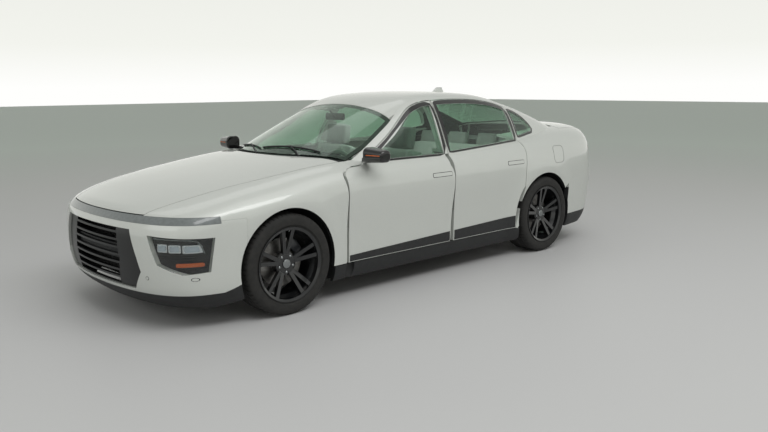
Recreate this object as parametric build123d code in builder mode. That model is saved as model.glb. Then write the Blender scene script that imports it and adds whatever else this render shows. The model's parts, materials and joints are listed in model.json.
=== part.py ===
"""Midsize sedan: body panels, glass, cabin, running gear and road wheels as separate pieces.

Frame: +X forward, +Y to the car's left, +Z up, origin on the ground below the middle of the car.
All lengths are millimetres and all angles degrees.

Every outer panel is cut from one of two smooth skins. The body skin runs from bumper to bumper up to
the belt, and the cabin skin covers windscreen, roof, rear window and side glass. Each skin is where a
field changes sign, so neighbouring panels meet in one even surface. A panel is a patch of skin with its
own thickness, cut to the panel's outline with a shut gap all round.
"""

from build123d import *

import math
import os
from bisect import bisect_right

import numpy as np

os.makedirs("parts", exist_ok=True)

# ---------------------------------------------------------------- overall sizes
length = 4910
width = 1860
height = 1445
wheelbase = 2840
front_overhang = 940
track = 1590

# ---------------------------------------------------------------- wheels and tyres
rim_diameter = 482.6
tyre_width = 245
tyre_sidewall = 98
rim_width = 216
rim_flange = 9
spoke_pairs = 5
spoke_width = 27
hub_bore = 33.5
lug_circle = 114.3
lug_hole = 7
disc_radius = 165
disc_thickness = 26
arch_gap = 39
tyre_sides = 36

# ---------------------------------------------------------------- panels
shut_gap = 6
seat_gap = 0.3
door_thickness = 84
frame_thickness = 26
fender_thickness = 36
quarter_thickness = 40
hood_thickness = 26
lid_thickness = 28
roof_thickness = 30
glass_thickness = 5
sill_height = 150

# ---------------------------------------------------------------- heights and places
belt_height = 945
door_bottom = 268
hood_edge_height = 724
trunk_edge_height = 718
door_front = 1000
door_split = -100
door_rear = -1010

nose_x = length / 2
tail_x = -length / 2
front_axle_x = nose_x - front_overhang
rear_axle_x = front_axle_x - wheelbase
tyre_radius = rim_diameter / 2 + tyre_sidewall
arch_radius = tyre_radius + arch_gap
wheel_y = track / 2
half_width = width / 2


# ---------------------------------------------------------------- skins
def through(*points):
    """A curve with even bending through (place, value) points, as a function, and straight past its ends."""
    place, value = (list(row) for row in zip(*sorted(points)))
    step = np.diff(place)
    count = len(place)
    system = np.eye(count)
    load = np.zeros(count)
    for i in range(1, count - 1):
        system[i, i - 1 : i + 2] = step[i - 1], 2 * (step[i - 1] + step[i]), step[i]
        load[i] = 6 * ((value[i + 1] - value[i]) / step[i] - (value[i] - value[i - 1]) / step[i - 1])
    bend = np.linalg.solve(system, load).tolist()
    step = step.tolist()
    first_slope = (value[1] - value[0]) / step[0] - bend[1] * step[0] / 6
    last_slope = (value[-1] - value[-2]) / step[-1] + bend[-2] * step[-1] / 6

    def curve(at):
        if at <= place[0]:
            return value[0] + first_slope * (at - place[0])
        if at >= place[-1]:
            return value[-1] + last_slope * (at - place[-1])
        i = min(bisect_right(place, at) - 1, count - 2)
        ahead, behind = place[i + 1] - at, at - place[i]
        return (
            (bend[i] * ahead**3 + bend[i + 1] * behind**3) / (6 * step[i])
            + (value[i] / step[i] - bend[i] * step[i] / 6) * ahead
            + (value[i + 1] / step[i] - bend[i + 1] * step[i] / 6) * behind
        )

    return curve


def ease(share):
    """0 below 0, 1 above 1, and a smooth step between."""
    share = min(max(share, 0), 1)
    return share * share * (3 - 2 * share)


# Side view of nose and tail: how far forward or back the body reaches at a height.
nose_profile = through(
    (150, nose_x - 125),
    (200, nose_x - 67),
    (260, nose_x - 27),
    (330, nose_x - 9),
    (450, nose_x),
    (560, nose_x - 3),
    (640, nose_x - 15),
    (690, nose_x - 35),
    (725, nose_x - 63),
    (760, nose_x - 105),
    (800, nose_x - 185),
)
tail_profile = through(
    (150, tail_x + 170),
    (200, tail_x + 125),
    (300, tail_x + 55),
    (420, tail_x + 17),
    (560, tail_x),
    (640, tail_x + 5),
    (720, tail_x + 30),
    (900, tail_x + 50),
    (1000, tail_x + 53),
    (1080, tail_x + 47),
    (1130, tail_x + 55),
)
# Height of the body along its centreline: hood, then hidden below the cabin, then rear deck.
body_top = through(
    (nose_x, 700),
    (nose_x - 55, 735),
    (nose_x - 155, 770),
    (nose_x - 305, 812),
    (front_axle_x + 385, 872),
    (front_axle_x, 940),
    (front_axle_x - 365, 992),
    (front_axle_x - 815, 1020),
    (0, 1036),
    (rear_axle_x + 625, 1056),
    (rear_axle_x + 25, 1088),
    (rear_axle_x - 475, 1118),
    (rear_axle_x - 775, 1122),
    (tail_x + 65, 1110),
)
# Half width of the body at a height, between the wheels.
body_side = through(
    (150, half_width - 76),
    (200, half_width - 54),
    (260, half_width - 41),
    (330, half_width - 38),
    (450, half_width - 35),
    (600, half_width - 26),
    (700, half_width - 18),
    (770, half_width - 14),
    (850, half_width - 14),
    (1100, half_width - 19),
)
arch_flare = 14
hood_crown = 30
nose_bend_x = nose_x - 1155
tail_bend_x = tail_x + 1555
shoulder_base = 480
shoulder_power = 7


def body_field(x, y, z):
    """Below 0 inside the body skin and above 0 outside it."""
    half = body_side(z)
    for axle_x in (front_axle_x, rear_axle_x):
        off = math.hypot(x - axle_x, z - tyre_radius) - arch_radius - 30
        half += arch_flare * math.exp(-((off / 95) ** 2))
    if x > nose_bend_x:
        share = (x - nose_bend_x) / max(nose_profile(z) - nose_bend_x, 1)
        half *= math.sqrt(max(0, 1 - share**8))
    if x < tail_bend_x:
        share = (tail_bend_x - x) / max(tail_bend_x - tail_profile(z), 1)
        half *= math.sqrt(max(0, 1 - share**9))
    if half < 1:
        return 1
    top = body_top(x) - hood_crown * (y / 700) ** 2
    rise = max(0, z - shoulder_base) / max(top - shoulder_base, 1)
    reach = abs(y) / half
    return min(reach, 50) ** shoulder_power + min(rise, 50) ** shoulder_power - 1


# Half width of the cabin at the belt.
cabin_plan = through(
    (front_axle_x - 265, 668),
    (front_axle_x - 515, 756),
    (front_axle_x - 815, 800),
    (front_axle_x - 1215, 824),
    (front_axle_x - 1715, 832),
    (rear_axle_x + 625, 822),
    (rear_axle_x + 125, 788),
    (rear_axle_x - 275, 738),
    (rear_axle_x - 675, 668),
)
# Height of the cabin along its centreline: windscreen, roof and rear window.
cabin_top = through(
    (front_axle_x - 265, height - 515),
    (front_axle_x - 385, height - 457),
    (front_axle_x - 615, height - 347),
    (front_axle_x - 815, height - 253),
    (front_axle_x - 1015, height - 164),
    (front_axle_x - 1165, height - 103),
    (front_axle_x - 1315, height - 56),
    (front_axle_x - 1465, height - 26),
    (front_axle_x - 1665, height - 6),
    (rear_axle_x + 925, height),
    (rear_axle_x + 625, height - 9),
    (rear_axle_x + 325, height - 41),
    (rear_axle_x + 25, height - 102),
    (rear_axle_x - 275, height - 188),
    (rear_axle_x - 525, height - 276),
    (rear_axle_x - 675, height - 330),
)
side_lean = 0.42
side_curl = 0.00025
screen_bow = 190
rear_bow = 150
roof_crown = 25
rail_power = 12
cabin_base = 600


def cabin_half(x, z):
    """Half width of the leaning, slightly curved side glass."""
    rise = z - belt_height
    return cabin_plan(x) - side_lean * rise - side_curl * rise * abs(rise)


def cabin_height(x, y):
    """Height of windscreen, roof and rear window, which are bowed across the car."""
    bow = screen_bow * ease((x - front_axle_x + 1615) / 500) - rear_bow * ease((rear_axle_x + 625 - x) / 500)
    return cabin_top(x + bow * (y / 650) ** 2) - roof_crown * (y / 600) ** 2


def cabin_field(x, y, z):
    """Below 0 inside the cabin skin and above 0 outside it."""
    half = cabin_half(x, z)
    if half < 1:
        return 1
    rise = max(0, z - cabin_base) / max(cabin_height(x, y) - cabin_base, 1)
    reach = abs(y) / half
    return min(reach, 50) ** rail_power + min(rise, 50) ** rail_power - 1


def cast(field, start, toward):
    """The point where a ray that starts inside a field leaves it."""
    scale = math.dist((0, 0, 0), toward)
    step = [part / scale for part in toward]
    near, far = 0, width
    for _ in range(28):
        middle = (near + far) / 2
        if field(*(s + middle * d for s, d in zip(start, step))) < 0:
            near = middle
        else:
            far = middle
    return Vector(*(s + near * d for s, d in zip(start, step)))


def spaced(first, last, count):
    """Evenly spaced values, ends included."""
    return [first + (last - first) * i / (count - 1) for i in range(count)]


def patch(rows):
    """A smooth face through a grid of points."""
    return Face.make_surface_from_array_of_points(rows, tol=0.05, min_deg=3, max_deg=3)


def side_patch(field, x_low, x_high, angle_low, angle_high, columns=24, rows=22, core=(300, 480)):
    """Skin on the car's left, met by rays that fan up from a line inside the car."""
    return patch(
        [
            [
                cast(field, (x, *core), (0, math.cos(math.radians(a)), math.sin(math.radians(a))))
                for a in spaced(angle_low, angle_high, rows)
            ]
            for x in spaced(x_low, x_high, columns)
        ]
    )


def wrap_patch(core_x, turn, z_low, z_high, heading=0, depth=0, columns=41, rows=16):
    """Skin round the nose (heading 0) or tail (heading 180), met by level rays and pulled in by a depth."""
    grid = []
    for z in spaced(z_low, z_high, rows):
        row = []
        for a in spaced(-turn, turn, columns):
            toward = Vector(math.cos(math.radians(heading + a)), math.sin(math.radians(heading + a)), 0)
            row.append(cast(body_field, (core_x, 0, z), tuple(toward)) - toward * depth)
        grid.append(row)
    return patch(grid)


def top_patch(field, x_of, y_limit, floor, columns=21, rows=24):
    """Skin seen from above, met by upright rays. x_of(y) gives the two ends of each lengthwise line."""
    grid = []
    for y in spaced(-y_limit, y_limit, columns):
        rear, front = x_of(y)
        grid.append([cast(field, (x, y, floor), (0, 0, 1)) for x in spaced(rear, front, rows)])
    return patch(grid)


# ---------------------------------------------------------------- lines shared by neighbouring panels
rail_height = 46
rail_width = 55
frame_width = 34
split_top = door_split - 48
rear_frame_x = door_rear - 85
rear_arc_radius = arch_radius + 48
door_shoulder = 880
quarter_split = (-1648, 560), (-1760, 640), (-2150, 712), (-2700, 712)
fender_front = 1842
scuttle_x = 905
header_x = 330
rear_header_x = -1010
hinge_x = door_front - 15
hinge_y = 882
rear_hinge_x = door_split - shut_gap - 15
hinge_pin = 6
run_gap = 0.05


def cabin_edge(x):
    """Height and half width of the corner between roof and side glass."""
    z = height
    for _ in range(25):
        z = cabin_height(x, cabin_half(x, z))
    return z, cabin_half(x, z)


def frame_top(x):
    """Upper edge of the door frames in side view."""
    return cabin_edge(x)[0] - rail_height


def rail_inner(x):
    """Half width at which roof and screens meet the side rails."""
    return cabin_edge(x)[1] - rail_width


hood_line = through((900, 724), (1100, 718), (1500, 692), (1900, 640), (2150, 585), (2300, 530), (2450, 470))
hood_rear = through((0, 1152), (200, 1134), (400, 1074), (550, 1002), (650, 965), (722, 945), (900, 930))
screen_foot = through((0, 1097), (200, 1077), (400, 1007), (600, 907), (650, 882), (722, 848), (900, 780))
deck_front = through((0, -1992), (300, -1972), (500, -1915), (650, -1868), (800, -1850))
lid_line = through((-1800, 668), (-2000, 660), (-2300, 640), (-2500, 620))


def redrawn(edge):
    """A plain line, arc or spline in place of an offset edge."""
    if edge.geom_type == GeomType.LINE:
        return Edge.make_line(edge @ 0, edge @ 1)
    if edge.geom_type == GeomType.CIRCLE:
        return Edge.make_three_point_arc(edge @ 0, edge @ 0.5, edge @ 1)
    return Edge.make_spline([edge @ share for share in spaced(0, 1, 12)])


def outline(*edges, grow=0, plane=Plane.XZ):
    """A flat face inside a closed chain of edges, grown outwards by a clearance."""
    with BuildSketch(plane) as flat:
        with BuildLine():
            for edge in edges:
                add(edge)
        make_face()
    if not grow:
        return flat.sketch
    with BuildSketch() as grown:
        add(Sketch([Face(flat.sketch_local.faces()[0].outer_wire())]))
        offset(amount=grow, kind=Kind.ARC)
    with BuildSketch(plane) as redone:
        with BuildLine():
            for edge in grown.sketch_local.faces()[0].outer_wire().edges():
                add(redrawn(edge))
        make_face()
    return redone.sketch


def chain(*points):
    """A curve through points that lie in the drawing plane."""
    return Edge.make_spline([Vector(*point) for point in points])


def run(*points):
    """Straight edges through points."""
    return Wire.make_polygon([Vector(*point) for point in points], close=False)


def wall(sketch, reach=1600):
    """Everything inside a drawn outline, as seen along its normal."""
    normal = sketch.faces()[0].normal_at()
    with BuildPart() as solid:
        extrude(Pos(*(normal * -reach)) * sketch, amount=2 * reach, dir=tuple(normal))
    return solid.part


def prism(*points, plane=Plane.XZ, reach=1600, grow=0):
    """Everything inside a polygon, as seen along the plane's normal."""
    return wall(outline(run(*points, points[0]), grow=grow, plane=plane), reach)


def slab(face, depth, thickness, toward):
    """The layer of a skin between two depths below its surface."""
    way = Vector(*toward).normalized()
    with BuildPart() as layer:
        extrude(Pos(*(way * depth)) * face, amount=thickness, dir=tuple(way))
    return layer.part


def common(first, *others):
    """What several solids share."""
    with BuildPart() as shared:
        add(first)
        for other in others:
            add(other, mode=Mode.INTERSECT)
    return shared.part


def block(x, y, z):
    """A box from its limits along the three axes."""
    with BuildPart() as solid:
        with Locations(((x[0] + x[1]) / 2, (y[0] + y[1]) / 2, (z[0] + z[1]) / 2)):
            Box(abs(x[1] - x[0]), abs(y[1] - y[0]), abs(z[1] - z[0]))
    return solid.part


def rod(x, y, z, radius, along="Z", length=10):
    """A cylinder about a point, along one axis."""
    turn = {"Z": (0, 0, 0), "Y": (90, 0, 0), "X": (0, 90, 0)}[along]
    with BuildPart() as solid:
        with Locations(Location((x, y, z), turn)):
            Cylinder(radius, length)
    return solid.part


def plan_side(line, x_low, x_high, grow=0, count=14):
    """Everything inboard of a plan line on the car's left half and its mirror image."""
    xs = spaced(x_low, x_high, count)
    left = [(x, line(x) + grow) for x in xs]
    with BuildPart() as body:
        add(outline(chain(*left), run(left[-1], (x_high, 0), (x_low, 0), left[0]), plane=Plane.XY))
        extrude(amount=2000)
        mirror(about=Plane.XZ)
    return body.part


def across(line, far, y_high=900, grow=0, count=13):
    """Everything between a line drawn across the car and a station far behind or ahead."""
    ys = spaced(-y_high, y_high, count)
    edge = [(line(abs(y)) + grow, y) for y in ys]
    with BuildPart() as body:
        add(outline(chain(*edge), run(edge[-1], (far, y_high), (far, -y_high), edge[0]), plane=Plane.XY))
        extrude(amount=2000)
    return body.part


def arch(axle_x, radius):
    """A wheel opening, right across the car."""
    return rod(axle_x, 0, tyre_radius, radius, "Y", 2400)


def front_split(shift_low, shift_high):
    """The line between front and rear door, up the frames and down to the sill."""
    return (
        (split_top - shift_high, frame_top(split_top)),
        (door_split - shift_low - 4, belt_height + 10),
        (door_split - shift_low + 4, 600),
        (door_split - shift_low, door_bottom),
    )


def front_door_outline(grow=0):
    edge = front_split(0, 0)
    top = [(x, frame_top(x)) for x in spaced(door_front - 300, split_top, 7)]
    return outline(
        run((door_split, door_bottom), (door_front, door_bottom), (door_front, door_shoulder)),
        chain((door_front, door_shoulder), (door_front - 40, door_shoulder + 34), (door_front - 190, 934), *top),
        chain(*edge),
        grow=grow,
    )


def rear_door_outline(grow=0):
    edge = front_split(shut_gap, 14)
    head = edge[0]
    top = [head] + [(x, frame_top(x)) for x in spaced(head[0] - 150, rear_frame_x, 5)]
    angle_low = math.asin((door_bottom - tyre_radius) / rear_arc_radius)
    arc_low = (rear_axle_x + rear_arc_radius * math.cos(angle_low), door_bottom)
    angle_high = math.acos((door_rear - rear_axle_x) / rear_arc_radius)
    arc_high = (door_rear, tyre_radius + rear_arc_radius * math.sin(angle_high))
    middle = (angle_low + angle_high) / 2
    arc_mid = (
        rear_axle_x + rear_arc_radius * math.cos(middle),
        tyre_radius + rear_arc_radius * math.sin(middle),
    )
    return outline(
        chain(*edge),
        chain(*top),
        chain(top[-1], (rear_frame_x + 12, 1150), (rear_frame_x + 30, 1000), (door_rear - 18, 800), arc_high),
        Edge.make_three_point_arc(*(Vector(*p) for p in (arc_high, arc_mid, arc_low))),
        run(arc_low, (door_split - shut_gap, door_bottom)),
        grow=grow,
    )


def front_window_outline(shrink=0):
    rear = door_split - 42
    top = [(x, frame_top(x) - frame_width) for x in spaced(door_front - 370, split_top + frame_width, 6)]
    return outline(
        chain((door_front - 335, 962), *top),
        chain(top[-1], (rear + 66, 1150), (rear + 80, 965)),
        run((rear + 80, 965), (door_front - 335, 962)),
        grow=-shrink,
    )


def rear_window_outline(shrink=0):
    front = split_top - 14 - frame_width
    top = [(x, frame_top(x) - frame_width) for x in spaced(front, rear_frame_x + frame_width + 4, 5)]
    low = (rear_frame_x + frame_width + 26, 1022)
    return outline(
        chain(*top),
        chain(top[-1], (rear_frame_x + frame_width + 12, 1150), low),
        run(low, (door_split - 42, 978)),
        chain((door_split - 42, 978), (front + 30, 1150), top[0]),
        grow=-shrink,
    )


def quarter_window_outline(shrink=0):
    front = rear_frame_x - 34
    return outline(
        chain((front, frame_top(front) - 20), (front - 110, frame_top(front - 110) - 24), (-1372, 1100)),
        run((-1372, 1100), (-1354, 1080), (front + 22, 1050)),
        chain((front + 22, 1050), (front + 8, 1150), (front, frame_top(front) - 20)),
        grow=-shrink,
    )


# ---------------------------------------------------------------- skins
down = (0, 0, -1)
inward = (0, -1, 0)
inward_down = (0, -1, -0.45)

fender_skin = side_patch(body_field, 880, 2330, -33, 80, core=(200, 480), columns=32)
front_door_skin = side_patch(body_field, -180, 1040, -33, 62)
rear_door_skin = side_patch(body_field, -1080, -60, -33, 62)
flank_skin = side_patch(body_field, -2330, 1180, -34, 80, core=(200, 480), columns=50)
front_cabin_skin = side_patch(cabin_field, -200, 960, 12, 75, core=(0, 700))
rear_cabin_skin = side_patch(cabin_field, -1180, -80, 12, 75, core=(0, 700))
cabin_skin = side_patch(cabin_field, -1960, 960, 12, 78, core=(0, 700), columns=44)


def hood_span(y):
    return 860, cast(body_field, (1500, y, hood_edge_height - 12), (1, 0, 0)).X


def deck_span(y):
    return cast(body_field, (-1500, y, 1000), (-1, 0, 0)).X, -1800


hood_skin = top_patch(body_field, hood_span, 800, 480)
deck_skin = top_patch(body_field, deck_span, 720, 480)
roof_skin = top_patch(cabin_field, lambda y: (rear_header_x - 60, header_x + 60), 600, 700)
screen_skin = top_patch(cabin_field, lambda y: (header_x - 60, 1180 - 100 * (y / 650) ** 2), 700, 700)
rear_screen_skin = top_patch(cabin_field, lambda y: (-2040, rear_header_x + 60), 660, 700)


def between(outer, inner):
    """The solid between two faces whose edges lie opposite each other."""
    sides = []
    for edge in outer.edges():
        middle = edge.position_at(0.5)
        partner = min(inner.edges(), key=lambda other: (other.position_at(0.5) - middle).length)
        sides.append(Face.make_surface_from_curves(edge, partner))
    return Solid(Shell([outer, inner, *sides]))


def shell(heading, outer, inner, z_low, z_high):
    """The layer between two depths of the skin round the nose or the tail."""
    core, turn = (1500, 72) if heading == 0 else (-1500, 78)
    return between(
        wrap_patch(core, turn, z_low, z_high, heading=heading, depth=outer),
        wrap_patch(core, turn, z_low, z_high, heading=heading, depth=inner),
    )


def both_sides(solid):
    """A part and its mirror image across the car."""
    with BuildPart() as pair:
        add(solid)
        mirror(about=Plane.XZ)
    return pair.part


seam = 0.8
bumper_wall = 45

# ---------------------------------------------------------------- doors
lower_band = prism((-3000, 100), (3000, 100), (3000, belt_height + 18), (400, belt_height + 4), (-600, 972), (-1100, 1020), (-3000, 1020))
hinge_heights = (770, 545)


def hinge_hole(x):
    """What a door loses round its two hinges: pin holes and a pocket for each arm."""
    with BuildPart() as cut:
        for z in hinge_heights:
            add(rod(x, hinge_y, z, hinge_pin + run_gap, "Z", 110))
            add(block((x - 20, x + 60), (700, hinge_y + 13), (z - 27, z + 27)))
    return cut.part


def split_strip(ahead):
    """What lies in side view from behind the doors' split line to a distance ahead of it."""
    line = front_split(0, 0)
    return prism(*[(x - 40, z) for x, z in line], *[(x + ahead, z) for x, z in reversed(line)])


def hinge_arms(x, post_y):
    """The fixed half of a door's two hinges: an arm from the post and an upright pin."""
    with BuildPart() as arms:
        for z in hinge_heights:
            add(rod(x, hinge_y, z, hinge_pin, "Z", 96))
            add(rod(x, hinge_y, z, 9, "Z", 42))
            add(common(prism((x - 7, hinge_y), (x + 7, hinge_y), (x + 14, post_y), (x - 12, post_y), plane=Plane.XY), block((x - 50, x + 90), (post_y, hinge_y + 10), (z - 21, z + 21))))
    return arms.part


hood_pivot = (968, 925)
hood_swing = rod(hood_pivot[0], 0, hood_pivot[1], 60, "Y", 2 * 728)
rear_edge_relief = prism(
    (-200, 700), (rear_hinge_x + 57, 700), (rear_hinge_x + 57, 889), (rear_hinge_x + 24, hinge_y + 32),
    (-200, hinge_y + 32), plane=Plane.XY,
)

with BuildPart() as front_door_left:
    add(slab(front_door_skin, 0, door_thickness, inward))
    add(lower_band, mode=Mode.INTERSECT)
    add(common(slab(front_cabin_skin, 0, frame_thickness, inward), prism((-400, belt_height - 25), (1100, belt_height - 25), (1100, 1700), (-400, 1700))))
    add(wall(front_door_outline()), mode=Mode.INTERSECT)
    add(wall(front_window_outline()), mode=Mode.SUBTRACT)
    add(hinge_hole(hinge_x), mode=Mode.SUBTRACT)
    # The rear edge is a lip: behind the outer skin it is set back, so that it swings clear of the rear
    # door's frame and the rear door's front edge can turn in behind it.
    add(common(slab(front_cabin_skin, 8, 60, inward), split_strip(12)), mode=Mode.SUBTRACT)
    add(common(lower_band, split_strip(36), rear_edge_relief), mode=Mode.SUBTRACT)
    add(hood_swing, mode=Mode.SUBTRACT)

with BuildPart() as rear_door_left:
    add(slab(rear_door_skin, 0, door_thickness, inward))
    add(lower_band, mode=Mode.INTERSECT)
    add(common(slab(rear_cabin_skin, 0, frame_thickness, inward), prism((-1400, belt_height - 25), (100, belt_height - 25), (100, 1700), (-1400, 1700))))
    add(wall(rear_door_outline()), mode=Mode.INTERSECT)
    add(wall(rear_window_outline()), mode=Mode.SUBTRACT)
    add(hinge_hole(rear_hinge_x), mode=Mode.SUBTRACT)

with BuildPart() as front_glass_left:
    add(slab(front_cabin_skin, 10, glass_thickness, inward))
    add(wall(front_window_outline(seat_gap)), mode=Mode.INTERSECT)

with BuildPart() as rear_glass_left:
    add(slab(rear_cabin_skin, 10, glass_thickness, inward))
    add(wall(rear_window_outline(seat_gap)), mode=Mode.INTERSECT)

# ---------------------------------------------------------------- fender
front_arch = arch(front_axle_x, arch_radius)
rear_arch = arch(rear_axle_x, arch_radius)
hinge_relief = both_sides(rod(hinge_x, hinge_y, 540, 39, "Z", 900))
hood_plan = plan_side(hood_line, 860, 2420)
hood_plan_wide = plan_side(hood_line, 860, 2420, grow=shut_gap)

with BuildPart() as fender_left:
    add(slab(fender_skin, 0, fender_thickness, inward_down))
    add(
        prism(
            (1006, 268), (1600, 268), (1600, 500), (fender_front, 500), (fender_front, 692.8), (2010, 692.8),
            (2010, 718.8), (2460, 718.8), (2460, 1100), (scuttle_x, 1100), (scuttle_x, 930), (954, 921), (1006, 887),
        ),
        mode=Mode.INTERSECT,
    )
    add(front_arch, mode=Mode.SUBTRACT)
    add(hood_plan_wide, mode=Mode.SUBTRACT)
    add(hinge_relief, mode=Mode.SUBTRACT)
    add(block((800, 2500), (-900, 0), (0, 1200)), mode=Mode.SUBTRACT)

# ---------------------------------------------------------------- hood
with BuildPart() as hood_panel:
    add(slab(hood_skin, 0, hood_thickness, down))
    add(hood_plan, mode=Mode.INTERSECT)
    add(across(hood_rear, 3000), mode=Mode.INTERSECT)
    add(block((0, 3000), (-1000, 1000), (hood_edge_height, 1200)), mode=Mode.INTERSECT)
    for side in (-1, 1):
        add(rod(hood_pivot[0], side * 703, hood_pivot[1], 13, "Y", 18))
        add(block((hood_pivot[0] - 13, hood_pivot[0] + 13), (side * 694, side * 712), (hood_pivot[1], 950)))
        add(rod(hood_pivot[0], side * 703, hood_pivot[1], hinge_pin + run_gap, "Y", 30), mode=Mode.SUBTRACT)

# ---------------------------------------------------------------- front bumper, grille, lamps
grille_points = (-462, 636), (462, 636), (528, 470), (556, 380), (478, 262), (-478, 262), (-556, 380), (-528, 470)
bumper_low, lip_low = 240, 140
lamp_points = (612, 612), (1000, 588), (1000, 400), (800, 374), (674, 436)
lamp_rear = (2046, 640), (2700, 640), (2700, 350), (2088, 350)
bar_low, bar_high = 676, 718


def front_view(points, grow=0):
    """Everything inside a polygon drawn in front view (y, z)."""
    return common(prism(*points, plane=Plane.YZ, reach=2600, grow=grow), block((1700, 2600), (-1000, 1000), (0, 1200)))


def lamp_space(grow=0):
    """The lamp's opening: drawn in front view, and ended in side view where it has turned the corner."""
    return common(front_view(lamp_points, grow), prism(*lamp_rear, grow=grow))


nose_shell = shell(0, 0, bumper_wall, 130, 740)

with BuildPart() as front_bumper:
    add(nose_shell)
    add(
        prism(
            (fender_front + seam, bumper_low + 50), (2000, bumper_low), (2600, bumper_low), (2600, 692),
            (fender_front + seam, 692),
        ),
        mode=Mode.INTERSECT,
    )
    add(front_arch, mode=Mode.SUBTRACT)
    add(front_view(grille_points), mode=Mode.SUBTRACT)
    add(both_sides(lamp_space()), mode=Mode.SUBTRACT)
    add(block((2010, 2600), (-1000, 1000), (bar_low - seam, 740)), mode=Mode.SUBTRACT)

with BuildPart() as front_lip:
    add(nose_shell)
    add(
        prism(
            (fender_front, 172), (2050, lip_low), (2600, lip_low), (2600, bumper_low - 0.5), (2000, bumper_low - 0.5),
            (fender_front, bumper_low + 49.5),
        ),
        mode=Mode.INTERSECT,
    )
    add(front_arch, mode=Mode.SUBTRACT)

with BuildPart() as light_bar:
    add(shell(0, 2, 40, 660, 730))
    add(block((2010 + seam, 2600), (-1000, 1000), (bar_low, bar_high)), mode=Mode.INTERSECT)

with BuildPart() as grille:
    add(shell(0, 18, 42, 240, 680))
    add(front_view(grille_points, -seat_gap), mode=Mode.INTERSECT)
    with BuildSketch(Plane.YZ) as cells:
        for row in range(8):
            limit = 500 - abs(row - 3) * 14
            with Locations((0, 289 + 48 * row)):
                with Locations(*[(side * (limit + 40) / 3.1, 0) for side in (-1, 0, 1)]):
                    Rectangle(2 * limit / 3.1, 34)
    add(wall(cells.sketch, 2600), mode=Mode.SUBTRACT)

with BuildPart() as front_lamp_left:
    add(shell(0, 30, 75, 350, 650))
    add(lamp_space(-seat_gap), mode=Mode.INTERSECT)

with BuildPart() as front_lens_left:
    add(shell(0, 3, 7, 350, 650))
    add(lamp_space(-seat_gap), mode=Mode.INTERSECT)

# ---------------------------------------------------------------- rear bumper, tail lamps, trunk lid
plate_floor_x = -2418
plate_recess = (-168, 460), (168, 460), (162, 624), (-162, 624)
plate_hole_pitch = 178
plate_hole_height = 602.5
plate_hole_radius = 3
tail_shell = shell(180, 0, bumper_wall, 160, 1060)
bumper_top = (quarter_split[0], quarter_split[1], quarter_split[2], quarter_split[3])

with BuildPart() as rear_bumper:
    add(tail_shell)
    add(prism((-1640, 300), *bumper_top, (-2700, 300)), mode=Mode.INTERSECT)
    add(rear_arch, mode=Mode.SUBTRACT)
    add(
        common(prism(*plate_recess, plane=Plane.YZ, reach=2600), block((-2600, plate_floor_x), (-1000, 1000), (0, 1200))),
        mode=Mode.SUBTRACT,
    )
    for side in (-1, 1):
        add(
            rod(plate_floor_x, side * plate_hole_pitch / 2, plate_hole_height, plate_hole_radius, "X", 60),
            mode=Mode.SUBTRACT,
        )

with BuildPart() as rear_diffuser:
    add(tail_shell)
    add(prism((-1640, 182), (-2700, 182), (-2700, 299.5), (-1640, 299.5)), mode=Mode.INTERSECT)
    add(rear_arch, mode=Mode.SUBTRACT)
    for side in (-1, 1):
        add(rod(-2350, side * 560, 252, 44, "X", 400), mode=Mode.SUBTRACT)


def tail_edge(y):
    """Where the tail face ends below the lid's top, as a station along the car."""
    return cast(body_field, (-1500, y, 1040), (-1, 0, 0)).X


lamp_low, lamp_high = 806, 912
lid_plan = plan_side(lid_line, -2480, -1780)
lid_plan_wide = plan_side(lid_line, -2480, -1780, grow=shut_gap + 1)
lid_front = across(deck_front, -3000)
lid_hole = common(lid_plan_wide, across(deck_front, -3000, grow=shut_gap + 3))
lid_pivot = (-1802, 1058)

with BuildPart() as trunk_panel:
    add(slab(deck_skin, 0, lid_thickness, down))
    add(common(slab(deck_skin, 0, 75, down), across(lambda y: tail_edge(y) + 66, -3000, y_high=700)))
    add(lid_plan, mode=Mode.INTERSECT)
    add(lid_front, mode=Mode.INTERSECT)
    add(block((-3000, 0), (-1000, 1000), (1040, 1300)), mode=Mode.INTERSECT)
    add(common(shell(180, 0, lid_thickness, 700, 1045), lid_plan, block((-3000, -2000), (-1000, 1000), (trunk_edge_height, 1040))))
    add(common(shell(180, -1, 13, 780, 940), prism((-2000, lamp_low), (-2700, lamp_low), (-2700, lamp_high), (-2000, lamp_high))), mode=Mode.SUBTRACT)

lid_neck = [(0, 0), (-16, -60), (-45, -112), (-112, -98), (-142, -24), (-142, 24)]


def neck(y_low, y_high):
    """A lid arm that bends down round the edge of the opening."""
    px, pz = lid_pivot
    with BuildPart() as arm:
        with BuildSketch(Plane.XZ.offset(-y_high)):
            with BuildLine():
                Polyline(*[(px + dx, pz + dz) for dx, dz in lid_neck])
            trace(line_width=16)
            with Locations((px, pz)):
                Circle(13)
        extrude(amount=y_high - y_low)
        with Locations(Location((px, (y_low + y_high) / 2, pz), (90, 0, 0))):
            Cylinder(hinge_pin + run_gap, 100, mode=Mode.SUBTRACT)
    return arm.part


with BuildPart() as trunk_arms:
    add(neck(520, 536))
    mirror(about=Plane.XZ)

with BuildPart() as trunk_lamp:
    add(shell(180, 1, 12.7, 790, 930))
    add(prism((-2000, lamp_low + seat_gap), (-2700, lamp_low + seat_gap), (-2700, lamp_high - seat_gap), (-2000, lamp_high - seat_gap)), mode=Mode.INTERSECT)
    add(plan_side(lid_line, -2480, -1780, grow=-0.5), mode=Mode.INTERSECT)

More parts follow.
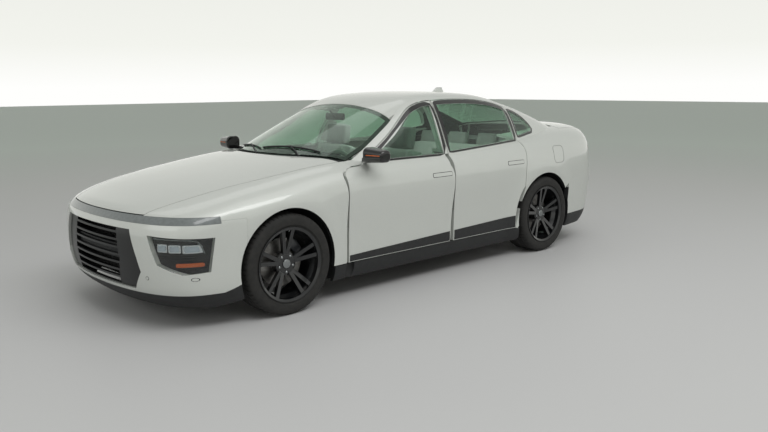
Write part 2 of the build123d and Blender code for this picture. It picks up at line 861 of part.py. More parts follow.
with BuildPart() as tail_lamp_left:
    add(shell(180, 1, 33, 790, 930))
    add(prism((-2122, lamp_low + seat_gap), (-2700, lamp_low + seat_gap), (-2700, lamp_high - seat_gap), (-2092, lamp_high - seat_gap)), mode=Mode.INTERSECT)
    add(lid_hole, mode=Mode.SUBTRACT)
    add(block((-3000, 0), (-1000, 0), (0, 1300)), mode=Mode.SUBTRACT)

# ---------------------------------------------------------------- roof and fixed glass
rail_plan_seat = plan_side(rail_inner, -1960, 958, grow=-seat_gap, count=24)

with BuildPart() as roof_panel:
    add(slab(roof_skin, 0, roof_thickness, down))
    add(rail_plan_seat, mode=Mode.INTERSECT)
    add(block((rear_header_x, header_x), (-900, 900), (900, 1600)), mode=Mode.INTERSECT)

screen_down = (-0.42, 0, -0.9)
with BuildPart() as windshield:
    add(slab(screen_skin, 4, glass_thickness, screen_down))
    add(plan_side(rail_inner, header_x - 100, 1180, grow=-seam, count=20), mode=Mode.INTERSECT)
    add(across(screen_foot, 0), mode=Mode.INTERSECT)
    add(block((header_x + seat_gap, 1300), (-900, 900), (900, 1600)), mode=Mode.INTERSECT)

with BuildPart() as rear_window:
    add(slab(rear_screen_skin, 4, glass_thickness, (0.3, 0, -0.95)))
    add(rail_plan_seat, mode=Mode.INTERSECT)
    add(across(lambda y: deck_front(y) + 8, 0), mode=Mode.INTERSECT)
    add(block((-2100, rear_header_x - seat_gap), (-900, 900), (900, 1600)), mode=Mode.INTERSECT)

with BuildPart() as quarter_glass_left:
    add(slab(cabin_skin, 5, glass_thickness, inward))
    add(wall(quarter_window_outline(seat_gap)), mode=Mode.INTERSECT)
    add(block((-3000, 3000), (-1000, 0), (0, 1700)), mode=Mode.SUBTRACT)

# ---------------------------------------------------------------- body side
door_openings = [front_door_outline(shut_gap), rear_door_outline(shut_gap)]
post_depth = door_thickness + 6
side_only = block((-3000, 3000), (690, 1000), (0, 1300))
inside_rails = common(
    plan_side(rail_inner, -1975, 958, count=24), block((-1975, 1500), (-900, 900), (900, 1700))
)

with BuildPart() as centre_post:
    # The upper half follows the door frames, and a shelf at the belt carries it on the lower half.
    add(
        common(
            slab(cabin_skin, frame_thickness + 6, 36, inward),
            prism((-154, 972), (-62, 972), (-96, frame_top(-96) + 24), (-180, frame_top(-180) + 24)),
        )
    )
    add(inside_rails, mode=Mode.SUBTRACT)
    add(
        common(
            slab(cabin_skin, frame_thickness + 6, 110, inward),
            prism((-152, 972), (-62, 972), (-63, 994), (-154, 994)),
            side_only,
        )
    )
    add(
        common(
            slab(flank_skin, post_depth, 46, inward),
            prism((-176, 200), (-34, 200), (-62, 994), (-150, 994)),
            side_only,
        )
    )

with BuildPart() as body_side_left:
    # Sill and quarter panel.
    add(slab(flank_skin, 0, quarter_thickness, inward_down))
    add(
        prism(
            (1130, sill_height), (1130, 262), (1000, 262), (-900, 262), (-1016, 600), (-1020, 900), (-1060, 1018),
            (-1120, 1200), (-2600, 1200), (-2600, 712.8), (quarter_split[2][0], 712.8),
            (quarter_split[1][0] - 0.4, quarter_split[1][1] + 0.8), (quarter_split[0][0], quarter_split[0][1] + 0.8),
            (-1500, 300), (-940, sill_height),
        ),
        mode=Mode.INTERSECT,
    )
    add(common(slab(flank_skin, 0, 118, inward), prism((1092, sill_height), (1092, 262), (-965, 262), (-965, sill_height))))
    # Scuttle corner between fender, door and windscreen.
    add(common(slab(flank_skin, 0, fender_thickness, inward_down), block((780, scuttle_x - seam), (600, 1000), (900, 1100))))
    # Pillars and cant rail.
    add(
        common(
            slab(cabin_skin, 0, 40, inward_down),
            prism((scuttle_x - seam, 930), (scuttle_x - seam, 1700), (-1990, 1700), (-1990, 1000), (-1060, 990), (-600, 960), (300, 940)),
        )
    )
    add(inside_rails, mode=Mode.SUBTRACT)
    for opening in door_openings:
        add(wall(opening), mode=Mode.SUBTRACT)
    add(wall(quarter_window_outline()), mode=Mode.SUBTRACT)
    # Posts behind the doors.
    add(centre_post.part)
    add(common(slab(flank_skin, post_depth, 50, inward), prism((950, 200), (1092, 200), (1092, 905), (950, 905)), side_only))
    add(
        common(
            slab(flank_skin, fender_thickness + 3, 104, inward_down),
            prism((1006, 250), (1092, 250), (1092, 905), (900, 960), (790, 990), (790, 945), (954, 927), (1006, 894)),
            side_only,
        )
    )
    add(rear_arch, mode=Mode.SUBTRACT)
    add(arch(front_axle_x, arch_radius), mode=Mode.SUBTRACT)
    add(lid_hole, mode=Mode.SUBTRACT)
    add(hood_swing, mode=Mode.SUBTRACT)
    add(hinge_relief, mode=Mode.SUBTRACT)
    add(common(shell(180, -3, 34.4, 790, 930), prism((-2120, lamp_low), (-2700, lamp_low), (-2700, lamp_high), (-2090, lamp_high))), mode=Mode.SUBTRACT)
    add(hinge_arms(hinge_x, 790))
    add(hinge_arms(rear_hinge_x, 790))

with BuildPart() as cowl:
    add(slab(hood_skin, 15, 20, down))
    add(across(lambda y: hood_rear(y) - 8, 0, y_high=760), mode=Mode.INTERSECT)
    add(across(lambda y: screen_foot(y) - 40, 3000, y_high=760), mode=Mode.INTERSECT)
    add(plan_side(rail_inner, 700, 1200, grow=-seat_gap), mode=Mode.INTERSECT)
    add(block((800, 1300), (-689.6, 689.6), (0, 1300)), mode=Mode.INTERSECT)
    add(hood_swing, mode=Mode.SUBTRACT)

# ---------------------------------------------------------------- floor, firewall, rails
sill_zone = slab(flank_skin, -60, 178.4, inward)
fender_zone = slab(fender_skin, -60, 60 + fender_thickness + 0.4, inward_down)
quarter_zone = common(slab(flank_skin, -60, 60 + quarter_thickness + 0.4, inward_down), block((-3000, -900), (0, 1200), (0, 1300)))
nose_zone = shell(0, -60, bumper_wall + 0.4, 200, 735)
tail_zone = shell(180, -60, bumper_wall + 0.4, 200, 1060)

with BuildPart() as underbody:
    add(block((-940, 1092.4), (-800, 800), (168, 186)))
    add(block((-1112, -940), (-643.6, 643.6), (168, 186)))
    add(both_sides(sill_zone), mode=Mode.SUBTRACT)
    add(block((-1000, 1092), (-150, 150), (186, 290)))
    add(block((-1010, 1092), (-130, 130), (160, 272)), mode=Mode.SUBTRACT)
    add(block((-1112, -1098), (-643.6, 643.6), (168, 336)))
    add(block((-1120, -1090), (20, 100), (160, 300)), mode=Mode.SUBTRACT)
    add(block((-2215, -1098), (-643.6, 643.6), (320, 336)))
    add(block((-2250, -2215), (-590, 590), (320, 336)))
    add(block((-2250, -2236), (-590, 590), (320, 700)))
    add(block((1092.4, 1100), (-735, 735), (168, 905)))
    add(block((936, 1092.4), (-680, 680), (838, 850)))
    for side in (-1, 1):
        add(block((1100, 2260), (side * 420, side * 480), (430, 520)))
        add(block((-2190, -1100), (side * 480, side * 540), (260, 322)))
        add(block((1450, 1580), (side * 420, side * 470), (500, 835)))
        add(block((1440, 1590), (side * 420, side * 640), (822, 836)))
        add(block((1099, 1790), (side * 618, side * 690), (775, 805)))
        add(block((1440, 1590), (side * 600, side * 640), (790, 830)))
        add(block((960, 976), (side * 664, side * 688), (845, 933)))
        add(rod(hood_pivot[0], side * 700, hood_pivot[1], hinge_pin, "Y", 36))
    with BuildPart(mode=Mode.PRIVATE) as tie:
        add(block((1250, 1330), (640, 900), (780, 794)))
        add(block((1700, 1780), (640, 900), (780, 794)))
        add(fender_zone, mode=Mode.SUBTRACT)
    add(both_sides(tie.part))
    with BuildPart(mode=Mode.PRIVATE) as beams:
        add(block((2240, 2415), (-575, 575), (430, 520)))
        add(nose_zone, mode=Mode.SUBTRACT)
        add(block((-2412, -2240), (-540, 540), (480, 560)))
        add(tail_zone, mode=Mode.SUBTRACT)
    add(beams.part)

with BuildPart() as parcel_shelf:
    add(block((-1785, -1330), (-560, 560), (960, 974)))
    add(block((-1344, -1330), (-560, 560), (336.3, 960)))
    for side in (-1, 1):
        add(block((-1826, -1778), (side * 541, side * 553), (962, 1072)))
        add(rod(lid_pivot[0], side * 531, lid_pivot[1], hinge_pin, "Y", 34))
    with BuildPart(mode=Mode.PRIVATE) as wing:
        add(block((-1700, -1340), (540, 905), (960, 974)))
        add(quarter_zone, mode=Mode.SUBTRACT)
    add(both_sides(wing.part))

with BuildPart() as wheel_liners:
    for axle_x, y_low, zone in ((front_axle_x, 500, fender_zone), (rear_axle_x, 650, quarter_zone)):
        with BuildPart(mode=Mode.PRIVATE) as liner:
            add(rod(axle_x, (y_low + 950) / 2, tyre_radius, 414, "Y", 950 - y_low))
            add(rod(axle_x, (y_low + 950) / 2, tyre_radius, 409, "Y", 1000), mode=Mode.SUBTRACT)
            if axle_x < 0:
                add(common(rod(axle_x, 648, tyre_radius, 414, "Y", 6), block((-3000, 0), (600, 700), (430, 900))))
            add(block((-3000, 3000), (0, 1000), (263, 1000)), mode=Mode.INTERSECT)
            add(zone, mode=Mode.SUBTRACT)
            add(nose_zone if axle_x > 0 else tail_zone, mode=Mode.SUBTRACT)
            if axle_x > 0:
                add(rod(axle_x, 570, 700, 36, "Z", 300), mode=Mode.SUBTRACT)
            add(body_side_left.part, mode=Mode.SUBTRACT)
            add(prism((-1640, 250), *quarter_split, (-2700, 250)) if axle_x < 0 else block((2500, 2600), (0, 10), (0, 10)), mode=Mode.SUBTRACT)
        add(both_sides(liner.part))

with BuildPart() as engine:
    add(block((1480, 2020), (-300, 300), (330, 724)))
    for side in (-1, 1):
        add(block((1640, 1740), (side * 300, side * 419.7), (455, 495)))
    add(block((1102.4, 1480), (-120, 120), (330, 560)))

with BuildPart() as radiator:
    add(block((2190, 2239.6), (-419.6, 419.6), (330, 650)))

# ---------------------------------------------------------------- cabin
with BuildPart() as dashboard:
    add(prism((790, 660), (900, 560), (1092, 560), (1092, 832), (932, 832), (932, 900), (850, 925), (775, 870), reach=726))
    add(block((150, 860), (-115, 115), (290.3, 520)))

with BuildPart() as front_seats:
    for side in (-1, 1):
        y = side * 405
        add(prism((130, 186.3), (560, 186.3), (680, 300), (690, 400), (640, 440), (200, 405), (120, 430), reach=240).moved(Location((0, y, 0))))
        add(prism((200, 405), (70, 960), (-10, 985), (-60, 950), (60, 420), (120, 405), reach=230).moved(Location((0, y, 0))))
        add(prism((45, 975), (30, 1150), (-30, 1170), (-62, 1140), (-40, 975), reach=125).moved(Location((0, y, 0))))

with BuildPart() as rear_seat:
    add(prism((-990, 290.3), (-990, 420), (-500, 440), (-420, 420), (-430, 290.3), reach=600))
    add(block((-990, -430), (152, 600), (186.3, 300)))
    add(block((-990, -430), (-600, -152), (186.3, 300)))
    add(prism((-880, 420), (-1090, 940), (-1180, 950), (-1200, 910), (-1080, 350), (-900, 350), reach=590))

with BuildPart() as steering_wheel:
    with BuildPart(Location((590, 385, 835), (0, -65, 0))):
        Torus(178, 15)
        Cylinder(42, 30)
        Box(24, 340, 12)
        with Locations((90, 0, 0)):
            Box(180, 24, 12)
        with Locations((0, 0, -130)):
            Cylinder(24, 260)

# ---------------------------------------------------------------- wheels
rim_radius = rim_diameter / 2


def turned(*points):
    """A ring turned about the wheel's axis (Y) from a profile of (y, radius) points."""
    with BuildPart() as ring:
        with BuildSketch(Plane.XY) as profile:
            with BuildLine():
                Polyline(*[(radius, y) for y, radius in points], close=True)
            make_face()
        revolve(axis=Axis.Y)
    return ring.part


half_rim = rim_width / 2

with BuildPart() as rim_shape:
    add(
        turned(
            (-half_rim - 8, rim_radius + rim_flange - 4), (-half_rim - 8, rim_radius + rim_flange), (-half_rim, rim_radius + rim_flange), (-half_rim, rim_radius),
            (-70, rim_radius - 4), (-50, rim_radius - 20), (30, rim_radius - 20), (70, rim_radius - 3), (half_rim, rim_radius),
            (half_rim, rim_radius + rim_flange), (half_rim + 8, rim_radius + rim_flange), (half_rim + 8, rim_radius + rim_flange - 4), (half_rim, rim_radius - 10),
            (74, rim_radius - 13), (40, rim_radius - 29), (-56, rim_radius - 29), (-78, rim_radius - 13), (-half_rim, rim_radius - 8),
        )
    )
    add(turned((40.3, hub_bore + 0.2), (40.3, 78), (58, 78), (66, 60), (66, hub_bore + 0.2)))
    spoke_zone = turned((36, 50), (58, 50), (66, 70), (92, 200), (100, 238), (76, 238), (64, 200), (40, 80))
    for i in range(spoke_pairs):
        for lean in (-1, 1):
            with BuildPart(mode=Mode.PRIVATE) as spoke:
                with BuildSketch(Plane.XZ.offset(-30)) as flat:
                    with BuildLine():
                        half_spoke = spoke_width / 2
                        Polyline(
                            (lean * 9 - half_spoke, 60), (lean * 9 + half_spoke, 60),
                            (lean * 40 + half_spoke, 238), (lean * 40 - half_spoke, 238), close=True,
                        )
                    make_face()
                extrude(amount=-90)
                add(spoke_zone, mode=Mode.INTERSECT)
            add(Rot(0, 360 / spoke_pairs * i, 0) * spoke.part)
    with BuildPart(mode=Mode.PRIVATE) as lugs:
        for i in range(5):
            a = math.radians(36 + 72 * i)
            add(rod(lug_circle / 2 * math.sin(a), 50, lug_circle / 2 * math.cos(a), lug_hole, "Y", 80))
    add(lugs.part, mode=Mode.SUBTRACT)

with BuildPart() as hub_shape:
    add(turned((-43, 20 + run_gap), (-43, 40), (28, 40), (28, 72), (40, 72), (40, hub_bore - 0.1), (56, hub_bore - 0.1), (56, 0), (33, 0), (33, 20 + run_gap)))
    add(turned((-2, 66), (-2, 76), (28, 76), (28, 66)))
    add(turned((-disc_thickness, 70), (-disc_thickness, disc_radius), (0, disc_radius), (0, 70)))

half_tyre = tyre_width / 2
bead_radius = rim_radius + seat_gap
bead_y = half_rim - seat_gap
tread_half = 66


def flat_sided(*sections):
    """A wheel-like body with flat sides through (y, radius) sections, standing on one of its sides."""
    with BuildPart() as body:
        for y, radius in sections:
            with BuildSketch(Plane.XZ.offset(-y)):
                RegularPolygon(radius, tyre_sides, major_radius=False, rotation=180 / tyre_sides)
        loft(ruled=True)
    return body.part


with BuildPart() as tyre_shape:
    flank = [(bead_y, rim_radius + 18), (half_tyre - 2, rim_radius + 42), (half_tyre, tyre_radius - 38),
             (tread_half + 38, tyre_radius - 8), (tread_half, tyre_radius)]
    add(flat_sided(*[(-y, radius) for y, radius in flank], *reversed(flank)))
    add(flat_sided((-half_tyre, bead_radius), (half_tyre, bead_radius)), mode=Mode.SUBTRACT)
    hollow = [(bead_y - 26, tyre_radius - 40), (tread_half, tyre_radius - 14)]
    add(flat_sided(*[(-y, radius) for y, radius in hollow], *reversed(hollow)), mode=Mode.SUBTRACT)


def right(left):
    """The mirror image of a left-hand part."""
    solids = [solid.mirror(Plane.XZ) for solid in left.solids()]
    return solids[0] if len(solids) == 1 else Compound(solids)


def place(shape, axle_x, side):
    """A wheel piece, modelled at the origin with its outer face towards +Y, at one corner of the car."""
    piece = shape if side > 0 else right(shape)
    return Pos(axle_x, side * wheel_y, tyre_radius) * piece


# ---------------------------------------------------------------- suspension, steering, exhaust
kingpin_y = 720
spindle_radius = 20

with BuildPart() as knuckle_left:
    add(block((front_axle_x - 24, front_axle_x + 24), (kingpin_y - 22, kingpin_y + 22), (232, 470)))
    add(rod(front_axle_x, 780, tyre_radius, spindle_radius, "Y", 92))
    add(block((front_axle_x - 130, front_axle_x), (kingpin_y - 20, kingpin_y - 4), (tyre_radius - 30, tyre_radius - 6)))
    add(rod(front_axle_x, kingpin_y, 351, 12 + run_gap, "Z", 320), mode=Mode.SUBTRACT)
    add(rod(front_axle_x, kingpin_y, 351, 30, "Z", 130))

with BuildPart() as front_suspension:
    add(block((1380, 1660), (-380, 380), (206, 262)))
    add(block((1380, 1660), (-330, 330), (262, 300)))
    for side in (-1, 1):
        add(common(prism((1400, side * 370), (1640, side * 370), (1537, side * kingpin_y), (1493, side * kingpin_y), plane=Plane.XY), block((0, 3000), (-1000, 1000), (206, 226))))
        add(rod(front_axle_x, side * kingpin_y, 216, 24, "Z", 20))
        add(rod(front_axle_x, side * kingpin_y, 246, 12, "Z", 60))
        add(common(prism((1480, side * 560), (1550, side * 560), (1537, side * kingpin_y), (1493, side * kingpin_y), plane=Plane.XY), block((0, 3000), (-1000, 1000), (478, 496))))
        add(rod(front_axle_x, side * kingpin_y, 487, 24, "Z", 18))
        add(rod(front_axle_x, side * kingpin_y, 456, 12, "Z", 50))
        add(rod(front_axle_x, side * 570, 649.5, 30, "Z", 344))
        add(block((1420, 1610), (side * 300, side * 419.6), (262, 480)))

with BuildPart() as rear_suspension:
    add(block((-1430, -1220), (-470, -10), (200, 259.7)))
    add(block((-1430, -1220), (130, 470), (200, 259.7)))
    add(block((-1360, -1290), (-60, 180), (258, 300)))
    for side in (-1, 1):
        add(block((-1355, -1295), (side * 440, side * 700), (206, 236)))
        add(block((-1355, -1295), (side * 690, side * 735), (206, 420)))
        add(rod(rear_axle_x, side * 780, tyre_radius, spindle_radius, "Y", 92))
        add(rod(rear_axle_x - 40, side * 590, 268, 26, "Z", 103))

with BuildPart() as exhaust:
    add(block((-2200, -1900), (-420, 420), (206, 259.7)))
    for side in (-1, 1):
        add(rod(-2212, side * 478, 234, 18, "Y", 200))
        add(block((-2215, -2195), (side * 380, side * 420), (216, 252)))
        add(block((-2236, -2205), (side * 540, side * 580), (216, 252)))
        add(rod(-2245, side * 560, 252, 40, "X", 80))
        add(rod(-2258, side * 560, 252, 35, "X", 80), mode=Mode.SUBTRACT)
    add(rod(-1000, 60, 225, 30, "X", 1850))

# ---------------------------------------------------------------- mirrors
with BuildPart() as mirror_left:
    with BuildSketch(Plane.XZ.offset(-882)):
        with Locations((790, 1012)):
            RectangleRounded(132, 112, 40)
    with BuildSketch(Plane.XZ.offset(-1050)):
        with Locations((778, 1008)):
            RectangleRounded(96, 84, 34)
    loft()
    fillet(mirror_left.faces().sort_by(Axis.Y)[-1].edges(), 22)
    fillet(mirror_left.faces().sort_by(Axis.Y)[0].edges(), 8)
    add(block((732, 778), (790, 900), (957, 984)))
    add(slab(front_cabin_skin, -0.3, 90, inward), mode=Mode.SUBTRACT)
    add(slab(front_door_skin, -0.3, 120, inward), mode=Mode.SUBTRACT)

# ---------------------------------------------------------------- nodes
trunk_whole = trunk_panel.part.fuse(trunk_arms.part)


def pair(left):
    """Left-hand solids and their mirror images, as separate solids of one node."""
    return Compound(list(left.solids()) + [solid.mirror(Plane.XZ) for solid in left.solids()])


def group(*parts):
    """Separate solids that share a node."""
    return Compound([solid for part in parts for solid in part.solids()])


nodes = {
    "underbody": group(underbody.part, parcel_shelf.part),
    "body_side_left": body_side_left.part,
    "body_side_right": right(body_side_left.part),
    "roof_panel": roof_panel.part,
    "fender_left": fender_left.part,
    "fender_right": right(fender_left.part),
    "front_bumper": front_bumper.part,
    "rear_bumper": rear_bumper.part,
    "black_trim": group(front_lip.part, rear_diffuser.part, cowl.part),
    "grille": grille.part,
    "front_lamps": group(pair(front_lamp_left.part), light_bar.part),
    "front_lenses": pair(front_lens_left.part),
    "tail_lamps": pair(tail_lamp_left.part),
    "windshield": windshield.part,
    "rear_glass": group(rear_window.part, pair(quarter_glass_left.part)),
    "wheel_liners": wheel_liners.part,
    "engine": group(engine.part, radiator.part),
    "dashboard": group(dashboard.part, steering_wheel.part),
    "front_seats": front_seats.part,
    "rear_seat": rear_seat.part,
    "front_suspension": front_suspension.part,
    "rear_suspension": rear_suspension.part,
    "exhaust": exhaust.part,
    "hood": hood_panel.part,
    "trunk_lid": trunk_whole,
    "trunk_lamp": trunk_lamp.part,
    "front_door_left": front_door_left.part,
    "front_door_right": right(front_door_left.part),
    "rear_door_left": rear_door_left.part,
    "rear_door_right": right(rear_door_left.part),
    "front_glass_left": front_glass_left.part,
    "front_glass_right": right(front_glass_left.part),
    "rear_glass_left": rear_glass_left.part,
    "rear_glass_right": right(rear_glass_left.part),
    "mirror_left": mirror_left.part,
    "mirror_right": right(mirror_left.part),
    "knuckle_left": knuckle_left.part,
    "knuckle_right": right(knuckle_left.part),
}
for end, axle_x in (("front", front_axle_x), ("rear", rear_axle_x)):
    for side, name in ((1, "left"), (-1, "right")):
        nodes[f"{end}_wheel_{name}"] = group(place(rim_shape.part, axle_x, side), place(hub_shape.part, axle_x, side))
        nodes[f"{end}_tyre_{name}"] = place(tyre_shape.part, axle_x, side)

os.makedirs("parts", exist_ok=True)
for name, shape in nodes.items():
    shape.label = name
    export_step(shape, f"parts/{name}.step")
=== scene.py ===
# %% [markdown]
# # Dressing a midsize sedan
#
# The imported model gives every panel, pane and wheel its real place. This script leaves those pieces
# where they are and adds what the eye expects of a real car: paint with depth, tinted glass, rubber,
# treaded tyres, lamps with something inside them, padded seats and a tidy engine bay.

import json
import math

import bmesh
import bpy
import numpy as np
from mathutils import Matrix, Vector
from mathutils.bvhtree import BVHTree
from mathutils.geometry import convex_hull_2d
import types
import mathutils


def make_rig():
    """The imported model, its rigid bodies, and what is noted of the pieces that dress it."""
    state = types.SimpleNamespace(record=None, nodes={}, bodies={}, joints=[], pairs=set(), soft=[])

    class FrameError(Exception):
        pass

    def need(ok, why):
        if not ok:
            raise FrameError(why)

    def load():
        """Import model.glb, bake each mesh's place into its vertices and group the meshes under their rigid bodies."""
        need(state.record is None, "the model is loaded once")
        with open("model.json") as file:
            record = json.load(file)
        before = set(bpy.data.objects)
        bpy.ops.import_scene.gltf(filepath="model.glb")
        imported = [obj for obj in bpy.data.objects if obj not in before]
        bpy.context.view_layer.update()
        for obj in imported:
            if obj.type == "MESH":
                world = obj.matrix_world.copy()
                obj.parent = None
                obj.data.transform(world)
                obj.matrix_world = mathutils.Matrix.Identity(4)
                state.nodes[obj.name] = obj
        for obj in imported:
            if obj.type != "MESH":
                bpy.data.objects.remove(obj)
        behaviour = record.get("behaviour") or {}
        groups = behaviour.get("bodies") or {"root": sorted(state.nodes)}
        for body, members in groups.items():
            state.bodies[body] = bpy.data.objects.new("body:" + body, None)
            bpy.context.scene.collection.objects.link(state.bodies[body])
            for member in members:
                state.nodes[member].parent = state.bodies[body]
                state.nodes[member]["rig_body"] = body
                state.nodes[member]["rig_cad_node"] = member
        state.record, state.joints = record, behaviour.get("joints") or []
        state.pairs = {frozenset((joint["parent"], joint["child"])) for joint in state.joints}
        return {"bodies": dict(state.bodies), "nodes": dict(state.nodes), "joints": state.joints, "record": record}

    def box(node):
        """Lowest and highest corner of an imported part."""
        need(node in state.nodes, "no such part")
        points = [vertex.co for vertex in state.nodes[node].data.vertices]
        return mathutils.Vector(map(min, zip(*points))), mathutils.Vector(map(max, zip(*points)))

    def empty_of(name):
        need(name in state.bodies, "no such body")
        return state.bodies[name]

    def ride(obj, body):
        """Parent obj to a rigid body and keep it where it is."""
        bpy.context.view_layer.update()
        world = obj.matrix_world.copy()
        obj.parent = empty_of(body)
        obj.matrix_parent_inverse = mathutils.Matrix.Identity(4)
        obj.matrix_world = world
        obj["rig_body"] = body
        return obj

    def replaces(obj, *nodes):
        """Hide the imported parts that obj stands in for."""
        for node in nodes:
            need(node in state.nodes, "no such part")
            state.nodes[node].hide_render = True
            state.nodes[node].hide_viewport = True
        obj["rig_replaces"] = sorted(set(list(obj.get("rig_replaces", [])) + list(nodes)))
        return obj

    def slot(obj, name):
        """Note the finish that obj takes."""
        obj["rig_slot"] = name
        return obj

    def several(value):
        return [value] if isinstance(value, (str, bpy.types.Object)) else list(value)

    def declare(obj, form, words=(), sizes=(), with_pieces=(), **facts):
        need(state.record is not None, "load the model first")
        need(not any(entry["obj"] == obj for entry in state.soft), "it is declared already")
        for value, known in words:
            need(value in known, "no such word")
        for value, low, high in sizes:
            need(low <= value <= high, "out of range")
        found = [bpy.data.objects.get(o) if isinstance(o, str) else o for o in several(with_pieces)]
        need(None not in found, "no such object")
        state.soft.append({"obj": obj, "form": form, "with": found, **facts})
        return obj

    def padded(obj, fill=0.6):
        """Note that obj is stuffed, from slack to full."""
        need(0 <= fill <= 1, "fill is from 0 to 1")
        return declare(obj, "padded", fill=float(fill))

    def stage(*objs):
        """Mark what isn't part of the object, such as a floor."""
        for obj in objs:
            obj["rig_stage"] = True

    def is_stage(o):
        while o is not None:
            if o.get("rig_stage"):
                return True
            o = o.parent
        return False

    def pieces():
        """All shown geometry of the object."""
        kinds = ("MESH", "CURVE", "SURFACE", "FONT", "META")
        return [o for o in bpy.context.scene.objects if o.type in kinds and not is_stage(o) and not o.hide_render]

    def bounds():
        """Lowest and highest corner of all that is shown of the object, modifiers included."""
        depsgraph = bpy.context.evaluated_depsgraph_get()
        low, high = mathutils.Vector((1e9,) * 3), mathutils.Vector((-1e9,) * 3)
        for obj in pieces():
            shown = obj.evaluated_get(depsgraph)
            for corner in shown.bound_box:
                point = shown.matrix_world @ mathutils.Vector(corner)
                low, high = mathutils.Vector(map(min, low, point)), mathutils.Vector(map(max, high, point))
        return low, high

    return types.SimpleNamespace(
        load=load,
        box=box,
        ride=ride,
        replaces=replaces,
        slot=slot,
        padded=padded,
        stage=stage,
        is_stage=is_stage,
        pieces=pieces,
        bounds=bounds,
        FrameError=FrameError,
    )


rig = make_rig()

for leftover in list(bpy.data.objects):
    bpy.data.objects.remove(leftover)
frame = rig.load()
nodes = frame["nodes"]
cad_low, cad_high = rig.bounds()
pivot = {joint["name"]: Vector(joint["pos_m"]) for joint in frame["joints"]}
SIDES = (("left", 1), ("right", -1))
MM = 0.001
print("nodes", len(nodes), "size", [round(v, 3) for v in cad_high - cad_low])

# %% [markdown]
# ## Working with colour
#
# Paint charts and screens give colours as sRGB hex values, while the renderer adds up light in linear
# values. One small function turns the first into the second, so every colour below can be read as a
# chart colour. A second one adds a shader node with its settings and its inputs in a single call.


# %% Colour and node helpers
def linear(code):
    """A linear RGBA colour from an sRGB hex code."""
    channels = [int(code[i : i + 2], 16) / 255 for i in (1, 3, 5)]
    return tuple(c / 12.92 if c <= 0.04045 else ((c + 0.055) / 1.055) ** 2.4 for c in channels) + (1.0,)


def add_node(material, kind, settings=None, inputs=None):
    """Adds one node. A plain input value is set on its socket, and another node's output is linked."""
    tree = material.node_tree
    made = tree.nodes.new(kind)
    for name, value in (settings or {}).items():
        setattr(made, name, value)
    for name, value in (inputs or {}).items():
        if isinstance(value, bpy.types.NodeSocket):
            tree.links.new(value, made.inputs[name])
        else:
            made.inputs[name].default_value = value
    return made


def finish(name, code, roughness, **sockets):
    """A material with one principled shader. Socket names have _ where the shader has a space."""
    material = bpy.data.materials.new(name)
    material.use_nodes = True
    shader = material.node_tree.nodes["Principled BSDF"]
    shader.inputs["Base Color"].default_value = linear(code)
    shader.inputs["Roughness"].default_value = roughness
    for key, value in sockets.items():
        shader.inputs[key.replace("_", " ")].default_value = value
    material.diffuse_color = linear(code)
    return material


def feed(material, socket, output):
    """Links a pattern into the principled shader."""
    material.node_tree.links.new(output, material.node_tree.nodes["Principled BSDF"].inputs[socket])


def place_of(material, stretch=(1, 1, 1)):
    """Object coordinates, in metres, stretched along each axis."""
    where = add_node(material, "ShaderNodeTexCoord")
    stretched = {"Vector": where.outputs["Object"], "Scale": stretch}
    return add_node(material, "ShaderNodeMapping", inputs=stretched).outputs[0]


# %% [markdown]
# ## Two patterns that most finishes share
#
# Nothing real is one even colour. Most surfaces here drift a little between two near colours, at the
# size of their grain, and carry a fine relief. The noise scale is the inverse of the grain size, so the
# helpers take that size in millimetres.


# %% Mottle and relief
def mottle(material, size_mm, dark, light, detail=2.0, stretch=(1, 1, 1)):
    """Lets the base colour drift between two near colours over patches of one size."""
    noise = add_node(
        material,
        "ShaderNodeTexNoise",
        inputs={"Vector": place_of(material, stretch), "Scale": 1000 / size_mm, "Detail": detail},
    )
    ramp = add_node(material, "ShaderNodeValToRGB", inputs={"Fac": noise.outputs["Fac"]})
    ramp.color_ramp.elements[0].position, ramp.color_ramp.elements[1].position = 0.3, 0.7
    ramp.color_ramp.elements[0].color, ramp.color_ramp.elements[1].color = linear(dark), linear(light)
    feed(material, "Base Color", ramp.outputs["Color"])


def graded(material, value, stops):
    """A colour that runs through stops, each a place along the value and its colour."""
    ramp = add_node(material, "ShaderNodeValToRGB", inputs={"Fac": value})
    first, last = ramp.color_ramp.elements
    for element, (place, code) in ((first, stops[0]), (last, stops[-1])):
        element.position, element.color = place, linear(code)
    for place, code in stops[1:-1]:
        ramp.color_ramp.elements.new(place).color = linear(code)
    return ramp.outputs["Color"]


def relief(material, size_mm, height_mm, strength=1.0, detail=2.0, stretch=(1, 1, 1), kind="noise"):
    """A fine bump, as noise or as rounded cells."""
    node_type = {"noise": "ShaderNodeTexNoise", "cells": "ShaderNodeTexVoronoi"}[kind]
    inputs = {"Vector": place_of(material, stretch), "Scale": 1000 / size_mm}
    if kind == "noise":
        inputs["Detail"] = detail
    pattern = add_node(material, node_type, inputs=inputs)
    bump = add_node(
        material,
        "ShaderNodeBump",
        inputs={"Height": pattern.outputs[0], "Strength": strength, "Distance": height_mm * MM},
    )
    feed(material, "Normal", bump.outputs["Normal"])


def uneven(material, size_mm, low, high, stretch=(1, 1, 1)):
    """Lets the roughness drift between two values, as on a surface that has been handled or wiped."""
    scaled = {"Vector": place_of(material, stretch), "Scale": 1000 / size_mm}
    noise = add_node(material, "ShaderNodeTexNoise", inputs=scaled)
    span = add_node(
        material, "ShaderNodeMapRange", inputs={"Value": noise.outputs["Fac"], "To Min": low, "To Max": high}
    )
    feed(material, "Roughness", span.outputs["Result"])


# %% [markdown]
# ## The paint
#
# A light grey pearl: a colour coat with fine mica flakes under a glossy lacquer. The flakes make the
# colour sparkle slightly at about half a millimetre, drawn here at two so that they show, and the
# lacquer has the faint waviness that painters call orange peel, some 9 mm from crest to crest.

